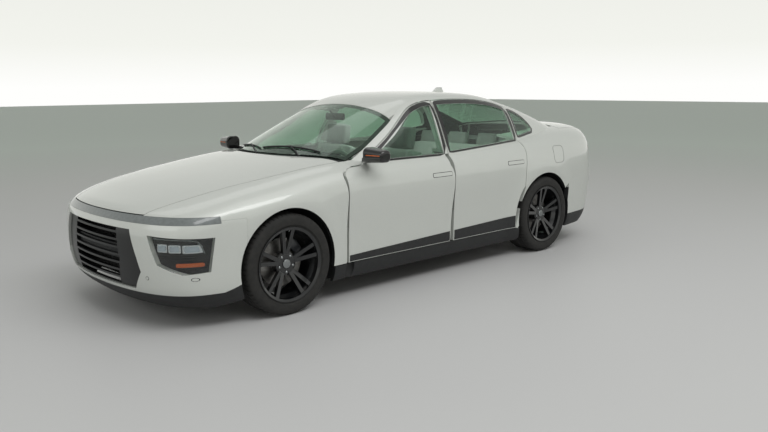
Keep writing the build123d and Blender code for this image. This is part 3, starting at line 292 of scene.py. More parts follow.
# %% Paint
pearl_paint = finish("pearl_grey_paint", "#C9CCC7", 0.42, Metallic=0.12, Coat_Weight=1.0, Coat_Roughness=0.03)
mottle(pearl_paint, 2.0, "#C3C7C2", "#CED0CB", detail=1.0)
relief(pearl_paint, 9.0, 0.05, strength=0.12)

sealed_primer = finish("sealed_primer", "#2A2B2D", 0.7)
mottle(sealed_primer, 40.0, "#232426", "#343537", detail=5.0)
relief(sealed_primer, 6.0, 0.5, strength=0.6)

# %% [markdown]
# ## Plastics and rubber
#
# Unpainted trim is moulded in grained ABS, satin black, while the pillar covers, mirror caps and grille
# are piano black. Rubber seals are matt. Tyre rubber is a little brown-grey and slightly uneven, since
# road dust sits in its surface.

# %% Plastics and rubber
grained_black = finish("grained_black_abs", "#1B1C1D", 0.55)
mottle(grained_black, 25.0, "#18191A", "#202122")
relief(grained_black, 1.6, 0.12, strength=0.5, kind="cells")

piano_black = finish("piano_black_acrylic", "#0B0B0C", 0.12, Coat_Weight=0.6, Coat_Roughness=0.03)
uneven(piano_black, 60.0, 0.10, 0.18)

lamp_black = finish("black_lamp_bezel", "#131416", 0.3)
uneven(lamp_black, 40.0, 0.25, 0.35)

seal_rubber = finish("seal_rubber", "#121313", 0.75)
mottle(seal_rubber, 12.0, "#101111", "#191A1A")

tyre_rubber = finish("tyre_rubber", "#1D1D1C", 0.8)
mottle(tyre_rubber, 30.0, "#191918", "#262523", detail=6.0)
relief(tyre_rubber, 2.5, 0.15, strength=0.5)

liner_felt = finish("wheelarch_felt", "#191A1A", 0.95)
mottle(liner_felt, 5.0, "#121313", "#242525", detail=6.0)
relief(liner_felt, 2.0, 0.8, strength=0.9)

# %% [markdown]
# ## Metals
#
# Wheels are cast aluminium under gloss black lacquer. Brake discs are bare grey iron turned on a lathe,
# with a light film of rust away from the pads. Exhaust tips are polished stainless steel, and
# suspension parts carry black dip paint that stays a bit rough from the casting below it.

# %% Metals
black_alloy = finish(
    "black_lacquered_alloy", "#141516", 0.28, Metallic=0.35, Coat_Weight=0.8, Coat_Roughness=0.05
)
mottle(black_alloy, 1.5, "#121314", "#1A1B1D")
turned_iron = finish("turned_grey_iron", "#7B7A78", 0.35, Metallic=1.0)
mottle(turned_iron, 30.0, "#6E6B68", "#8A8987")
caliper_enamel = finish("caliper_enamel", "#2B2D30", 0.35, Coat_Weight=0.4)
relief(caliper_enamel, 3.0, 0.2, strength=0.4)
stainless = finish("polished_stainless", "#B9B7B2", 0.18, Metallic=1.0)
uneven(stainless, 50.0, 0.14, 0.30)
bright_trim = finish("satin_chrome", "#8E9192", 0.22, Metallic=1.0)
uneven(bright_trim, 80.0, 0.18, 0.28)
dipped_steel = finish("black_dipped_steel", "#202123", 0.5, Metallic=0.2)
mottle(dipped_steel, 18.0, "#1A1B1C", "#2A2B2D")
relief(dipped_steel, 4.0, 0.3, strength=0.5)
cast_aluminium = finish("sand_cast_aluminium", "#8A8B8C", 0.45, Metallic=1.0)
mottle(cast_aluminium, 14.0, "#7A7B7C", "#979899")
relief(cast_aluminium, 1.8, 0.25, strength=0.6)
muffler_steel = finish("heat_tinted_steel", "#8D877D", 0.42, Metallic=1.0)
mottle(muffler_steel, 120.0, "#7C7163", "#9C9A95", detail=4.0)

# %% [markdown]
# ## Glass and lamps
#
# Car glass is float glass with a green tint. It is modelled as a solid pane 5 mm thick, so a
# transmitting shader bends and tints light as the real pane does. Lamp lenses are clear polycarbonate,
# and amber and red ones are dyed right through.

# %% Glass and lamps
green_glass = finish("green_tinted_glass", "#CBE8D6", 0.0, Transmission_Weight=1.0, IOR=1.45)
uneven(green_glass, 300.0, 0.0, 0.02)
clear_lens = finish("clear_polycarbonate", "#F2F4F3", 0.02, Transmission_Weight=1.0, IOR=1.3)
uneven(clear_lens, 200.0, 0.01, 0.03)
frosted_guide = finish("frosted_light_guide", "#6C7272", 0.35, Coat_Weight=0.8, Coat_Roughness=0.05)
mottle(frosted_guide, 20.0, "#666C6C", "#737979")
amber_lens = finish("amber_acrylic", "#C25A18", 0.15, Coat_Weight=0.7)
relief(amber_lens, 4.0, 0.6, strength=0.6, kind="cells")
ruby_lens = finish("ruby_acrylic", "#5E0B0F", 0.12, Coat_Weight=0.8, Coat_Roughness=0.04)
mottle(ruby_lens, 30.0, "#520A0D", "#6B0D12")
ruby_guide = finish("ruby_light_guide", "#B3161C", 0.25, Coat_Weight=0.5)
relief(ruby_guide, 3.0, 0.5, strength=0.5, kind="cells")
reflector_silver = finish("vacuum_metallised_reflector", "#C9CDD0", 0.12, Metallic=1.0)
relief(reflector_silver, 6.0, 0.3, strength=0.3)
mirror_silver = finish("mirror_silvering", "#D7DBDC", 0.02, Metallic=1.0)
uneven(mirror_silver, 300.0, 0.01, 0.04)
display_glass = finish("display_cover_glass", "#0A0C10", 0.08, Coat_Weight=0.5)
uneven(display_glass, 90.0, 0.06, 0.14)

# %% [markdown]
# ## Cabin cloth and trim
#
# The seats wear a dark woven cloth with bolsters in grained synthetic leather. Weave and grain are drawn
# at about 3 mm and 2 mm, coarser than life, so that they show. The roof lining is pale knitted fabric,
# and the floor has short tufted carpet.


# %% Cabin finishes
def woven(name, dark, light, pitch_mm):
    """Cloth: two crossed sets of threads at one pitch, seen in colour and in relief."""
    material = finish(name, dark, 0.9, Sheen_Weight=0.35, Sheen_Roughness=0.5)
    where = place_of(material)
    bands = [
        add_node(
            material,
            "ShaderNodeTexWave",
            {"bands_direction": axis},
            {"Vector": where, "Scale": 1000 / pitch_mm / 6.3, "Distortion": 0.4},
        )
        for axis in ("X", "Z", "Y")
    ]
    warp, weft, upright = (band.outputs["Fac"] for band in bands)
    crossed = add_node(material, "ShaderNodeMath", {"operation": "MULTIPLY"}, {0: warp, 1: weft}).outputs[0]
    mixed = add_node(material, "ShaderNodeMath", {"operation": "MAXIMUM"}, {0: crossed, 1: upright})
    ramp = add_node(material, "ShaderNodeValToRGB", inputs={"Fac": mixed.outputs[0]})
    ramp.color_ramp.elements[0].color, ramp.color_ramp.elements[1].color = linear(dark), linear(light)
    feed(material, "Base Color", ramp.outputs["Color"])
    bump = add_node(
        material, "ShaderNodeBump", inputs={"Height": mixed.outputs[0], "Strength": 0.5, "Distance": 0.4 * MM}
    )
    feed(material, "Normal", bump.outputs["Normal"])
    return material


seat_cloth = woven("woven_seat_cloth", "#80827F", "#9C9E9A", 3.0)
bolster_hide = finish("grained_bolster_hide", "#747673", 0.5, Sheen_Weight=0.1)
mottle(bolster_hide, 20.0, "#6F716E", "#7B7D7A")
relief(bolster_hide, 2.0, 0.25, strength=0.6, kind="cells")
pale_trim = finish("pale_door_trim", "#8F908B", 0.65)
mottle(pale_trim, 40.0, "#8A8B86", "#959691")
relief(pale_trim, 1.4, 0.15, strength=0.5, kind="cells")
soft_trim = finish("soft_touch_trim", "#232427", 0.6)
mottle(soft_trim, 15.0, "#1F2023", "#2A2B2E")
relief(soft_trim, 1.5, 0.2, strength=0.5, kind="cells")
roof_lining = finish("knitted_roof_lining", "#CFCDC6", 0.95, Sheen_Weight=0.2)
mottle(roof_lining, 3.0, "#C3C1BA", "#D8D6CF", detail=5.0)
relief(roof_lining, 2.0, 0.3, strength=0.5)
floor_carpet = finish("tufted_carpet", "#1D1E20", 0.98, Sheen_Weight=0.3)
mottle(floor_carpet, 3.0, "#151618", "#2A2B2E", detail=6.0)
relief(floor_carpet, 3.0, 1.5, strength=0.9)
print("materials", len(bpy.data.materials))

# %% [markdown]
# ## Painting the carried-over pieces
#
# A door is one solid here, but the real one is painted outside, trimmed inside and black round its
# window. Faces of one piece can wear different materials, chosen by where a face lies and which way it
# points, so no new shape is needed for that.


# %% Give each node its finish
def dress(name, base, *rules):
    """Fills a node's material slots: the base finish, then one more for each (finish, test) rule."""
    mesh = nodes[name].data
    mesh.materials.clear()
    for material in (base, *(rule[0] for rule in rules)):
        mesh.materials.append(material)
    count = len(mesh.polygons)
    centre, normal = np.empty(count * 3), np.empty(count * 3)
    mesh.polygons.foreach_get("center", centre)
    mesh.polygons.foreach_get("normal", normal)
    centre, normal = centre.reshape(-1, 3).T, normal.reshape(-1, 3).T
    index = np.zeros(count, int)
    for number, (_, test) in enumerate(rules, 1):
        index[test(*centre, *normal)] = number
    mesh.polygons.foreach_set("material_index", index)
    mesh.update()


sill_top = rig.box("front_door_left")[0].z
axles = [pivot[f"{end}_wheel_left_spin"] for end in ("front", "rear")]


def arch_shade_faces(x, y, z, u, v, w):
    """The narrow faces that look into a wheel arch; they are painted black as painted shade."""
    found = np.zeros(len(x), bool)
    for axle in axles:
        far = np.hypot(x - axle.x, z - axle.z)
        facing = -(u * (x - axle.x) + w * (z - axle.z)) / np.maximum(far, 1e-6)
        found |= (far < 0.42) & (facing > 0.8)
    return found


# Faces that look into a wheel arch get black plastic as painted shade, though the real panel edges there are body
# colour.
for side, sign in SIDES:
    for end in ("front", "rear"):
        dress(
            f"{end}_door_{side}",
            pearl_paint,
            (pale_trim, lambda x, y, z, u, v, w, s=sign: (s * v < -0.35)),
        )
        dress(f"{end}_glass_{side}", green_glass)
    dress(
        f"body_side_{side}",
        pearl_paint,
        (grained_black, lambda x, y, z, u, v, w: z < sill_top - 0.004),
        (pale_trim, lambda x, y, z, u, v, w, s=sign: (s * v < -0.3) & (z > sill_top) & (x > -1.3)),
        (liner_felt, lambda x, y, z, u, v, w, s=sign: (s * v < -0.3) & (z > sill_top) & (x <= -1.3)),
        (grained_black, arch_shade_faces),
    )
    dress(
        f"fender_{side}",
        pearl_paint,
        (sealed_primer, lambda x, y, z, u, v, w, s=sign: s * v < -0.3),
        (grained_black, arch_shade_faces),
    )
    dress(f"mirror_{side}", piano_black)
    dress(f"knuckle_{side}", dipped_steel)
dress("hood", pearl_paint, (sealed_primer, lambda x, y, z, u, v, w: w < -0.6))
dress("roof_panel", pearl_paint, (roof_lining, lambda x, y, z, u, v, w: w < -0.5))
dress(
    "trunk_lid",
    pearl_paint,
    (grained_black, lambda x, y, z, u, v, w: (w < -0.6) | ((u > 0.5) & (x > -2.38) & (z < 1.0))),
)
# The bumpers' faces that look into the arches are painted black as painted shade.
for name, bare_side in (
    ("front_bumper", lambda x, y, z, u, v, w: (u < -0.5) & (x > 1.95)),
    ("rear_bumper", lambda x, y, z, u, v, w: (u > 0.5) & (x < -2.2)),
):
    dress(name, pearl_paint, (grained_black, bare_side), (grained_black, arch_shade_faces))
for name, material in {
    "black_trim": grained_black,
    "grille": lamp_black,
    "front_lenses": clear_lens,
    "tail_lamps": ruby_lens,
    "trunk_lamp": ruby_lens,
    "windshield": green_glass,
    "rear_glass": green_glass,
    "wheel_liners": liner_felt,
    "engine": cast_aluminium,
    "dashboard": soft_trim,
    "front_suspension": dipped_steel,
    "rear_suspension": dipped_steel,
}.items():
    dress(name, material)
dress("exhaust", muffler_steel, (stainless, lambda x, y, z, u, v, w: (x < -2.28) & (abs(y) > 0.48)))
dress("front_lamps", lamp_black, (frosted_guide, lambda x, y, z, u, v, w: z > 0.66))
dress(
    "underbody",
    sealed_primer,
    (floor_carpet, lambda x, y, z, u, v, w: (w > 0.5) & (abs(y) < 0.78) & (x < 1.09)),
)

wheels = [
    (f"{end}_wheel_{side}", f"{end}_tyre_{side}", pivot[f"{end}_wheel_{side}_spin"], sign, end, side)
    for end in ("front", "rear")
    for side, sign in SIDES
]
disc_radius = 165.5 * MM


def on_disc(x, y, z, u, v, w, hub, sign):
    across = sign * (y - hub.y)
    return (np.hypot(x - hub.x, z - hub.z) < disc_radius) & (across < 0.001) & (across > -0.027)


for wheel, tyre, hub, sign, end, side in wheels:
    dress(wheel, black_alloy, (turned_iron, lambda *f, hub=hub, sign=sign: on_disc(*f, hub, sign)))
    dress(tyre, tyre_rubber)
print("dressed", len(nodes), "nodes")

# %% [markdown]
# ## Making and placing new pieces
#
# New pieces are shaped in bmesh, the mesh editor's own toolkit, and written straight in the car's frame
# in metres. Every piece then rides on the body that carries it, so that a door takes its handle along.


# %% Piece helpers
def settle(name, bm, material, body, slot, sharp=35, replaces=()):
    """Writes a bmesh as an object with smooth faces and sharp edges, riding on a body."""
    bmesh.ops.remove_doubles(bm, verts=bm.verts, dist=1e-6)
    bmesh.ops.recalc_face_normals(bm, faces=bm.faces)
    for face in bm.faces:
        face.smooth = True
    for edge in bm.edges:
        edge.smooth = len(edge.link_faces) == 2 and edge.calc_face_angle(0) < math.radians(sharp)
    mesh = bpy.data.meshes.new(name)
    bm.to_mesh(mesh)
    bm.free()
    mesh.materials.append(material)
    piece = bpy.data.objects.new(name, mesh)
    bpy.context.scene.collection.objects.link(piece)
    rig.ride(piece, body)
    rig.slot(piece, slot)
    if replaces:
        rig.replaces(piece, *replaces)
    return piece


def soften(bm, geom, width, segments=2, affect="EDGES"):
    """Rounds some edges, or with VERTICES the corners of a flat shape."""
    return bmesh.ops.bevel(
        bm, geom=geom, offset=width, segments=segments, profile=0.5, affect=affect, material=-1
    )


def add_box(bm, low, high, round_by=0.0, segments=2):
    """Adds a box between two corners, with its edges rounded."""
    low, high = Vector(low), Vector(high)
    made = bmesh.ops.create_cube(bm, size=1.0)["verts"]
    bmesh.ops.scale(bm, verts=made, vec=[abs(v) for v in high - low])
    bmesh.ops.translate(bm, verts=made, vec=(low + high) / 2)
    if round_by:
        edges = list({edge for vert in made for edge in vert.link_edges})
        rounded = soften(bm, edges, round_by, segments)
        fresh = {vert for face in rounded["faces"] for vert in face.verts}
        made = list(fresh | {vert for vert in made if vert.is_valid})
    return made


def boxes(name, wear, *parts, sharp=35):
    """One piece made of boxes. Each is add_box's own values; wear is its finish, body and slot."""
    material, body, slot = wear
    bm = bmesh.new()
    for part in parts:
        add_box(bm, *part)
    return settle(name, bm, material, body, slot, sharp=sharp)


def discs(name, wear, *parts):
    """One piece made of short cylinders or cones, each given by add_disc's own values."""
    material, body, slot = wear
    bm = bmesh.new()
    for part in parts:
        add_disc(bm, *part)
    return settle(name, bm, material, body, slot)


def add_disc(bm, centre, axis, radius, depth, sides=32, top=None):
    """Adds a short cylinder or cone with its middle at a point and its axis along a direction."""
    turn = Vector(axis).to_track_quat("Z", "Y").to_matrix().to_4x4()
    return bmesh.ops.create_cone(
        bm,
        cap_ends=True,
        segments=sides,
        radius1=radius,
        radius2=radius if top is None else top,
        depth=depth,
        matrix=Matrix.Translation(Vector(centre)) @ turn,
    )["verts"]


def tube(name, points, radius, material, body, slot, closed=False, smooth=True, sides=4):
    """A round rod along a curve through points, as a mesh."""
    curve = bpy.data.curves.new(name, "CURVE")
    curve.dimensions = "3D"
    curve.bevel_depth = radius
    curve.bevel_resolution = sides
    curve.use_fill_caps = True
    spline = curve.splines.new("NURBS" if smooth else "POLY")
    spline.points.add(len(points) - 1)
    for point, place in zip(spline.points, points):
        point.co = (*place, 1)
    if smooth:
        spline.order_u = 3
        spline.use_endpoint_u = not closed
    spline.use_cyclic_u = closed
    holder = bpy.data.objects.new(name + "_path", curve)
    mesh = bpy.data.meshes.new_from_object(holder)
    bpy.data.objects.remove(holder)
    mesh.name = name
    bm = bmesh.new()
    bm.from_mesh(mesh)
    bpy.data.meshes.remove(mesh)
    return settle(name, bm, material, body, slot)


# %% [markdown]
# A trim piece has to lie on a curved panel. Instead of working out the curve, a ray is cast at the panel
# and the piece is set where it lands, the way a fitter holds a part against the car.


# %% Find the skin
def skin_of(*names):
    """A search tree over some nodes' faces."""
    corners, faces = [], []
    for name in names:
        mesh = nodes[name].data
        start = len(corners)
        corners += [vert.co.copy() for vert in mesh.vertices]
        faces += [[start + i for i in polygon.vertices] for polygon in mesh.polygons]
    return BVHTree.FromPolygons(corners, faces)


def land(tree, start, way):
    """Where a ray meets the skin, and the skin's outward normal there."""
    point, normal, _, _ = tree.ray_cast(Vector(start), Vector(way).normalized())
    if point is None:
        raise ValueError(f"nothing under the ray from {tuple(start)}")
    return point, normal


def spread(low, high, count):
    return [low + (high - low) * i / (count - 1) for i in range(count)]


screen_skin, back_skin = skin_of("windshield"), skin_of("rear_glass")
print("screens", len(nodes["windshield"].data.polygons) + len(nodes["rear_glass"].data.polygons), "faces")

# %% [markdown]
# ## Tyres
#
# A road tyre has four grooves round it to carry water away, cross grooves over its shoulders, and
# sidewalls that bulge beyond the rim. One pitch of tread is spun from the section, its cross groove is
# sunk with an inset, and the pitch is repeated round the wheel. The grooves are 8 mm wide, 7 mm deep.

# %% Build the four tyres
tread_radius, groove_floor = 339.3, 339.3 - 7
pitches = 60
half_section = [
    (82, 242), (107.6, 242), (108.4, 252), (113, 262), (118.5, 266), (120.5, 276), (121.8, 288), (122.2, 300),
    (120.6, 312), (116.5, 322), (110.5, 329), (103, 334), (94, 336.8), (82, 338.4), (66, 339),
]
grooves = [(62, 54), (30, 22)]


def tread_section():
    """The tyre's closed outline as (across, radius) points in metres, on both sides of its middle."""
    half = list(half_section)
    for outer, inner in grooves:
        half += [(outer, 339.2), (outer - 1, groove_floor), (inner + 1, groove_floor), (inner, tread_radius)]
    lining = [(82, 242), (86, 300), (64, 324), (0, 326)]
    outside = half + [(-across, radius) for across, radius in reversed(half)]
    inside = [(-across, radius) for across, radius in lining[1:]] + [p for p in reversed(lining[1:-1])]
    return [(across * MM, radius * MM) for across, radius in outside + inside]


def build_tyre(name, hub, body, node):
    bm = bmesh.new()
    ring = [bm.verts.new((0, across, radius)) for across, radius in tread_section()]
    edges = [bm.edges.new((a, b)) for a, b in zip(ring, ring[1:] + ring[:1])]
    whole = math.tau / pitches
    groove_faces = []
    last = ring + edges
    for share, steps, sunk in ((0.44, 2, False), (0.12, 1, True), (0.44, 2, False)):
        before = set(bm.faces)
        spun = bmesh.ops.spin(
            bm, geom=last, cent=(0, 0, 0), axis=(0, 1, 0), angle=whole * share, steps=steps, use_merge=False
        )
        last = spun["geom_last"]
        if sunk:
            groove_faces = [face for face in bm.faces if face not in before]
    for lean in (-1, 1):
        shoulder = [
            face
            for face in groove_faces
            if 63 * MM < lean * face.calc_center_median().y < 112 * MM
            and face.calc_center_median().xz.length > 326 * MM
        ]
        bmesh.ops.inset_region(bm, faces=shoulder, thickness=0.6 * MM, depth=-5.5 * MM, use_even_offset=True)
        rib = [
            face
            for face in groove_faces
            if 31 * MM < lean * face.calc_center_median().y < 53 * MM
            and face.calc_center_median().xz.length > 336 * MM
        ]
        bmesh.ops.inset_region(bm, faces=rib, thickness=1.2 * MM, depth=-4 * MM, use_even_offset=True)
    pitch = bm.verts[:] + bm.edges[:] + bm.faces[:]
    bmesh.ops.spin(
        bm, geom=pitch, cent=(0, 0, 0), axis=(0, 1, 0), angle=math.tau, steps=pitches, use_duplicate=True
    )
    bmesh.ops.remove_doubles(bm, verts=bm.verts, dist=0.05 * MM)
    bmesh.ops.translate(bm, verts=bm.verts, vec=hub)
    return settle(name, bm, tyre_rubber, body, "tyre", replaces=(node,))


for wheel, tyre, hub, sign, end, side in wheels:
    piece = build_tyre(f"treaded_tyre_{end}_{side}", hub, wheel, tyre)
print("tyre faces", len(piece.data.polygons))

# %% [markdown]
# ## Wheel fittings and brakes
#
# Five lug nuts on a 114.3 mm circle, a plain centre cap and a rubber valve sit on each wheel. The
# caliper bridges the disc and stays still while the wheel turns, so at the front it rides on the
# steered knuckle and at the back on the car's body.

# %% Nuts, caps, valves, calipers
lug_circle = 114.3 / 2 * MM
hub_face = 66 * MM


def wheel_fittings(name, hub, sign, body):
    bm = bmesh.new()
    out = Vector((0, sign, 0))
    for i in range(5):
        a = math.radians(36 + 72 * i)
        seat = hub + Vector((lug_circle * math.sin(a), sign * 58 * MM, lug_circle * math.cos(a)))
        add_disc(bm, seat, out, 9.5 * MM, 16 * MM, sides=6)
        add_disc(bm, seat + out * 9 * MM, out, 8.5 * MM, 3 * MM, sides=24, top=5 * MM)
    cap = add_disc(bm, hub + out * (hub_face + 3 * MM), out, 32 * MM, 7 * MM, sides=48, top=29 * MM)
    soften(bm, list({edge for vert in cap for edge in vert.link_edges}), 1.2 * MM)
    add_disc(bm, hub + Vector((0, sign * 96 * MM, 226 * MM)), out, 3.6 * MM, 26 * MM, sides=12)
    return settle(name, bm, bright_trim, body, "wheel_black")


def caliper(name, hub, sign, body, reach_deg):
    bm = bmesh.new()
    start = math.radians(-reach_deg / 2)
    section = [(-46, 108), (-46, 176), (22, 176), (22, 112), (4, 112), (4, 169), (-30, 169), (-30, 108)]
    ring = [bm.verts.new((0, sign * across * MM, radius * MM)) for across, radius in section]
    face = bm.faces.new(ring)
    bmesh.ops.rotate(bm, verts=bm.verts, cent=(0, 0, 0), matrix=Matrix.Rotation(start, 3, "Y"))
    bmesh.ops.spin(
        bm,
        geom=[face] + list(face.edges) + list(face.verts),
        cent=(0, 0, 0),
        axis=(0, 1, 0),
        angle=math.radians(reach_deg),
        steps=12,
        use_merge=False,
    )
    bmesh.ops.recalc_face_normals(bm, faces=bm.faces)
    folds = [edge for edge in bm.edges if len(edge.link_faces) == 2 and edge.calc_face_angle(0) > 0.8]
    soften(bm, folds, 3 * MM)
    toward = -60 if hub.x > 0 else 55
    bmesh.ops.rotate(bm, verts=bm.verts, cent=(0, 0, 0), matrix=Matrix.Rotation(math.radians(toward), 3, "Y"))
    bmesh.ops.translate(bm, verts=bm.verts, vec=hub)
    return settle(name, bm, caliper_enamel, body, "suspension_steel")


for wheel, tyre, hub, sign, end, side in wheels:
    wheel_fittings(f"wheel_fittings_{end}_{side}", hub, sign, wheel)
    carrier = f"knuckle_{side}" if end == "front" else "body"
    caliper(f"caliper_{end}_{side}", hub, sign, carrier, 62 if end == "front" else 46)
print("wheels fitted")

# %% [markdown]
# ## Springs
#
# A coil spring sits round each front strut, and a shorter one stands on each rear arm. Each coil is a
# helix that a round rod follows, worked out from its radius, height and number of turns.


# %% Coil springs
def coil(name, foot, radius, height, turns, wire):
    steps = int(turns * 16)
    points = []
    for i in range(steps + 1):
        turn = math.tau * i / 16
        points.append(foot + Vector((radius * math.cos(turn), radius * math.sin(turn), height * i / steps)))
    return tube(name, points, wire, dipped_steel, "body", "suspension_steel", sides=3)


for side, sign in SIDES:
    front_foot = Vector((pivot[f"steer_{side}"].x, sign * 0.570, 0.545))
    rear_foot = Vector((pivot[f"rear_wheel_{side}_spin"].x, sign * 0.560, 0.238))
    coil(f"front_spring_{side}", front_foot, 0.052, 0.25, 6, 6 * MM)
    coil(f"rear_spring_{side}", rear_foot, 0.045, 0.08, 3, 6 * MM)

# %% [markdown]
# ## Laying thin parts on the skin
#
# Trim, seals and badges are cut flat and then pressed on a curved panel. The helpers below do the same:
# a shape is drawn flat in the two axes of a side, nose, tail or top view, each of its points is dropped
# on the skin along the third axis, and the sheet gets its thickness last, into the panel, so that it
# stands proud only by its lift.

# %% Lay a flat part on the skin
LOOKS = {
    "left": (lambda u, v: (u, 3, v), (0, -1, 0)),
    "right": (lambda u, v: (u, -3, v), (0, 1, 0)),
    "inner_left": (lambda u, v: (u, 0, v), (0, 1, 0)),
    "inner_right": (lambda u, v: (u, 0, v), (0, -1, 0)),
    "nose": (lambda u, v: (4, u, v), (-1, 0, 0)),
    "tail": (lambda u, v: (-4, u, v), (1, 0, 0)),
    "top": (lambda u, v: (u, v, 3), (0, 0, -1)),
    "below": (lambda u, v: (u, v, -1), (0, 0, 1)),
}


def touch(tree, look, u, v, lift=0.0):
    """The point of the skin behind (u, v) of a view, moved out by lift."""
    start, way = LOOKS[look]
    point, normal = land(tree, start(u, v), way)
    if normal.dot(Vector(way)) > 0:
        normal = -normal
    return point + normal * lift


def lay(bm, tree, look, lift, depth):
    """Presses a flat shape on the skin and gives it a thickness, most of it sunk in the panel."""
    for vert in bm.verts:
        vert.co = touch(tree, look, vert.co.x, vert.co.y, lift)
    way = Vector(LOOKS[look][1])
    for face in bm.faces:
        face.normal_update()
        if face.normal.dot(way) > 0:
            face.normal_flip()
    bmesh.ops.solidify(bm, geom=bm.faces[:], thickness=depth)
    return bm


def flat_panel(bm, centre, width, height, corner=0.0, parts=(8, 2)):
    """Adds a rounded rectangle, divided so that it can follow a curved skin."""
    made = bmesh.ops.create_grid(bm, x_segments=parts[0], y_segments=parts[1], size=0.5)["verts"]
    bmesh.ops.scale(bm, verts=made, vec=(width, height, 1))
    bmesh.ops.translate(bm, verts=made, vec=(*centre, 0))
    if corner:
        soften(bm, [vert for vert in made if len(vert.link_edges) == 2], corner, 4, "VERTICES")


def flat_disc(bm, centre, radius, sides=24):
    made = bmesh.ops.create_circle(bm, cap_ends=True, cap_tris=True, segments=sides, radius=radius)["verts"]
    bmesh.ops.translate(bm, verts=made, vec=(*centre, 0))


def press(name, wear, where, *shapes, add=flat_panel):
    """One piece made of flat shapes pressed on a skin. Each shape is flat_panel's or flat_disc's own
    values; where is the skin, the view, the lift and the depth; wear is its finish, body and slot."""
    material, body, slot = wear
    bm = bmesh.new()
    for shape in shapes:
        add(bm, *shape)
    lay(bm, *where)
    return settle(name, bm, material, body, slot)


# %% [markdown]
# A window frame follows its pane. The pane's outline is the hull of its points in side view, and a band
# is extruded outwards from it. How wide the band may be is felt out step by step on the door alone, so
# that it stops just short of the door's edge, as a strip of film trimmed with a knife would.


# %% Outlines and bands
def pane_outline(name, axes, keep=None, step=20 * MM):
    """The outline of a node seen along its third axis, with a point about every step."""
    places = [vert.co for vert in nodes[name].data.vertices if not keep or keep(vert.co)]
    flat = [Vector((place[axes[0]], place[axes[1]])) for place in places]
    corners = [flat[i] for i in convex_hull_2d(flat)]
    points = []
    for a, b in zip(corners, corners[1:] + corners[:1]):
        parts = max(1, round((b - a).length / step))
        points += [a.lerp(b, i / parts) for i in range(parts)]
    return [p for p, q in zip(points, points[1:] + points[:1]) if (q - p).length > 4 * MM]


def outward(outline):
    """The direction away from a closed outline at each of its points."""
    area = sum(p.cross(q) for p, q in zip(outline, outline[1:] + outline[:1]))
    turn = -1 if area > 0 else 1
    after, before = outline[1:] + outline[:1], outline[-1:] + outline[:-1]
    ways = [(q - p).normalized() for p, q in zip(before, after)]
    return [Vector((-way.y * turn, way.x * turn)) for way in ways]


def lowest_of_three(values):
    return [min(trio) for trio in zip(values[-1:] + values[:-1], values, values[1:] + values[:1])]


def mean_of_three(values):
    return [sum(trio) / 3 for trio in zip(values[-1:] + values[:-1], values, values[1:] + values[:1])]


def room_beside(tree, look, outline, limit, jump=9 * MM):
    """How far a band can go out from each point before the skin ends, up to a limit."""
    rooms = []
    for point, way in zip(outline, outward(outline)):
        room, last = 4 * MM, None
        while room < limit(way):
            spot = point + way * room
            try:
                here = touch(tree, look, *spot)
            except ValueError:
                break
            if last is not None and abs((here - last).y) > jump:
                break
            last = here
            room += 2 * MM
        rooms.append(room - 3.5 * MM)
    return [max(3 * MM, room) for room in mean_of_three(lowest_of_three(rooms))]


def flat_band(bm, outline, inner, outer, rows=1):
    """Adds a band between two distances outside a closed outline. Each may be one number or one a point."""
    ways = outward(outline)
    inner = inner if isinstance(inner, list) else [inner] * len(outline)
    outer = outer if isinstance(outer, list) else [outer] * len(outline)
    ring = [bm.verts.new((p.x, p.y, 0)) for p in outline]
    edges = [bm.edges.new(pair) for pair in zip(ring, ring[1:] + ring[:1])]
    order = {tuple(vert.co): i for i, vert in enumerate(ring)}
    for row in range(rows):
        grown = bmesh.ops.extrude_edge_only(bm, edges=edges)["geom"]
        fresh = [item for item in grown if isinstance(item, bmesh.types.BMVert)]
        rungs = [item for item in grown if isinstance(item, bmesh.types.BMEdge)]
        edges = [edge for edge in rungs if all(vert in fresh for vert in edge.verts)]
        share = (row + 1) / rows
        places = {}
        for vert in fresh:
            i = order[tuple(vert.co)]
            spot = outline[i] + ways[i] * (inner[i] + (outer[i] - inner[i]) * share)
            vert.co = (spot.x, spot.y, 0)
            places[tuple(vert.co)] = i
        order = places
    for vert, point, way, gap in zip(ring, outline, ways, inner):
        vert.co = (point.x + way.x * gap, point.y + way.y * gap, 0)


# %% Black window frames on the doors
skin = {name: skin_of(name) for name in nodes if "door" in name or "mirror" in name}
for side, sign in SIDES:
    for end in ("front", "rear"):
        door = f"{end}_door_{side}"
        pane = pane_outline(f"{end}_glass_{side}", (0, 2))
        room = room_beside(skin[door], side, pane, lambda way: 70 * MM if way.y > -0.75 else 19 * MM)
        bm = bmesh.new()
        flat_band(bm, pane, 1.5 * MM, room, rows=2)
        lay(bm, skin[door], side, 1.2 * MM, 2.5 * MM)
        settle(f"window_frame_{end}_{side}", bm, piano_black, door, "gloss_black")
    quarter_skin = skin_of(f"body_side_{side}")
    pane = pane_outline("rear_glass", (0, 2), lambda co, s=sign: s * co.y > 0.6 and co.x > -1.45)
    room = room_beside(quarter_skin, side, pane, lambda way: 24 * MM)
    bm = bmesh.new()
    flat_band(bm, pane, 1.5 * MM, room)
    lay(bm, quarter_skin, side, 1.2 * MM, 2.5 * MM)
    settle(f"quarter_frame_{side}", bm, piano_black, "body", "gloss_black")
print("window frames", len(pane), "points on the last")

# %% [markdown]
# ## Ceramic borders
#
# The windscreen and the rear window are bonded in. A black ceramic border, fired into the glass, hides
# the glue line and keeps the sun off it. It lies on the inner face, so it is seen through the glass.

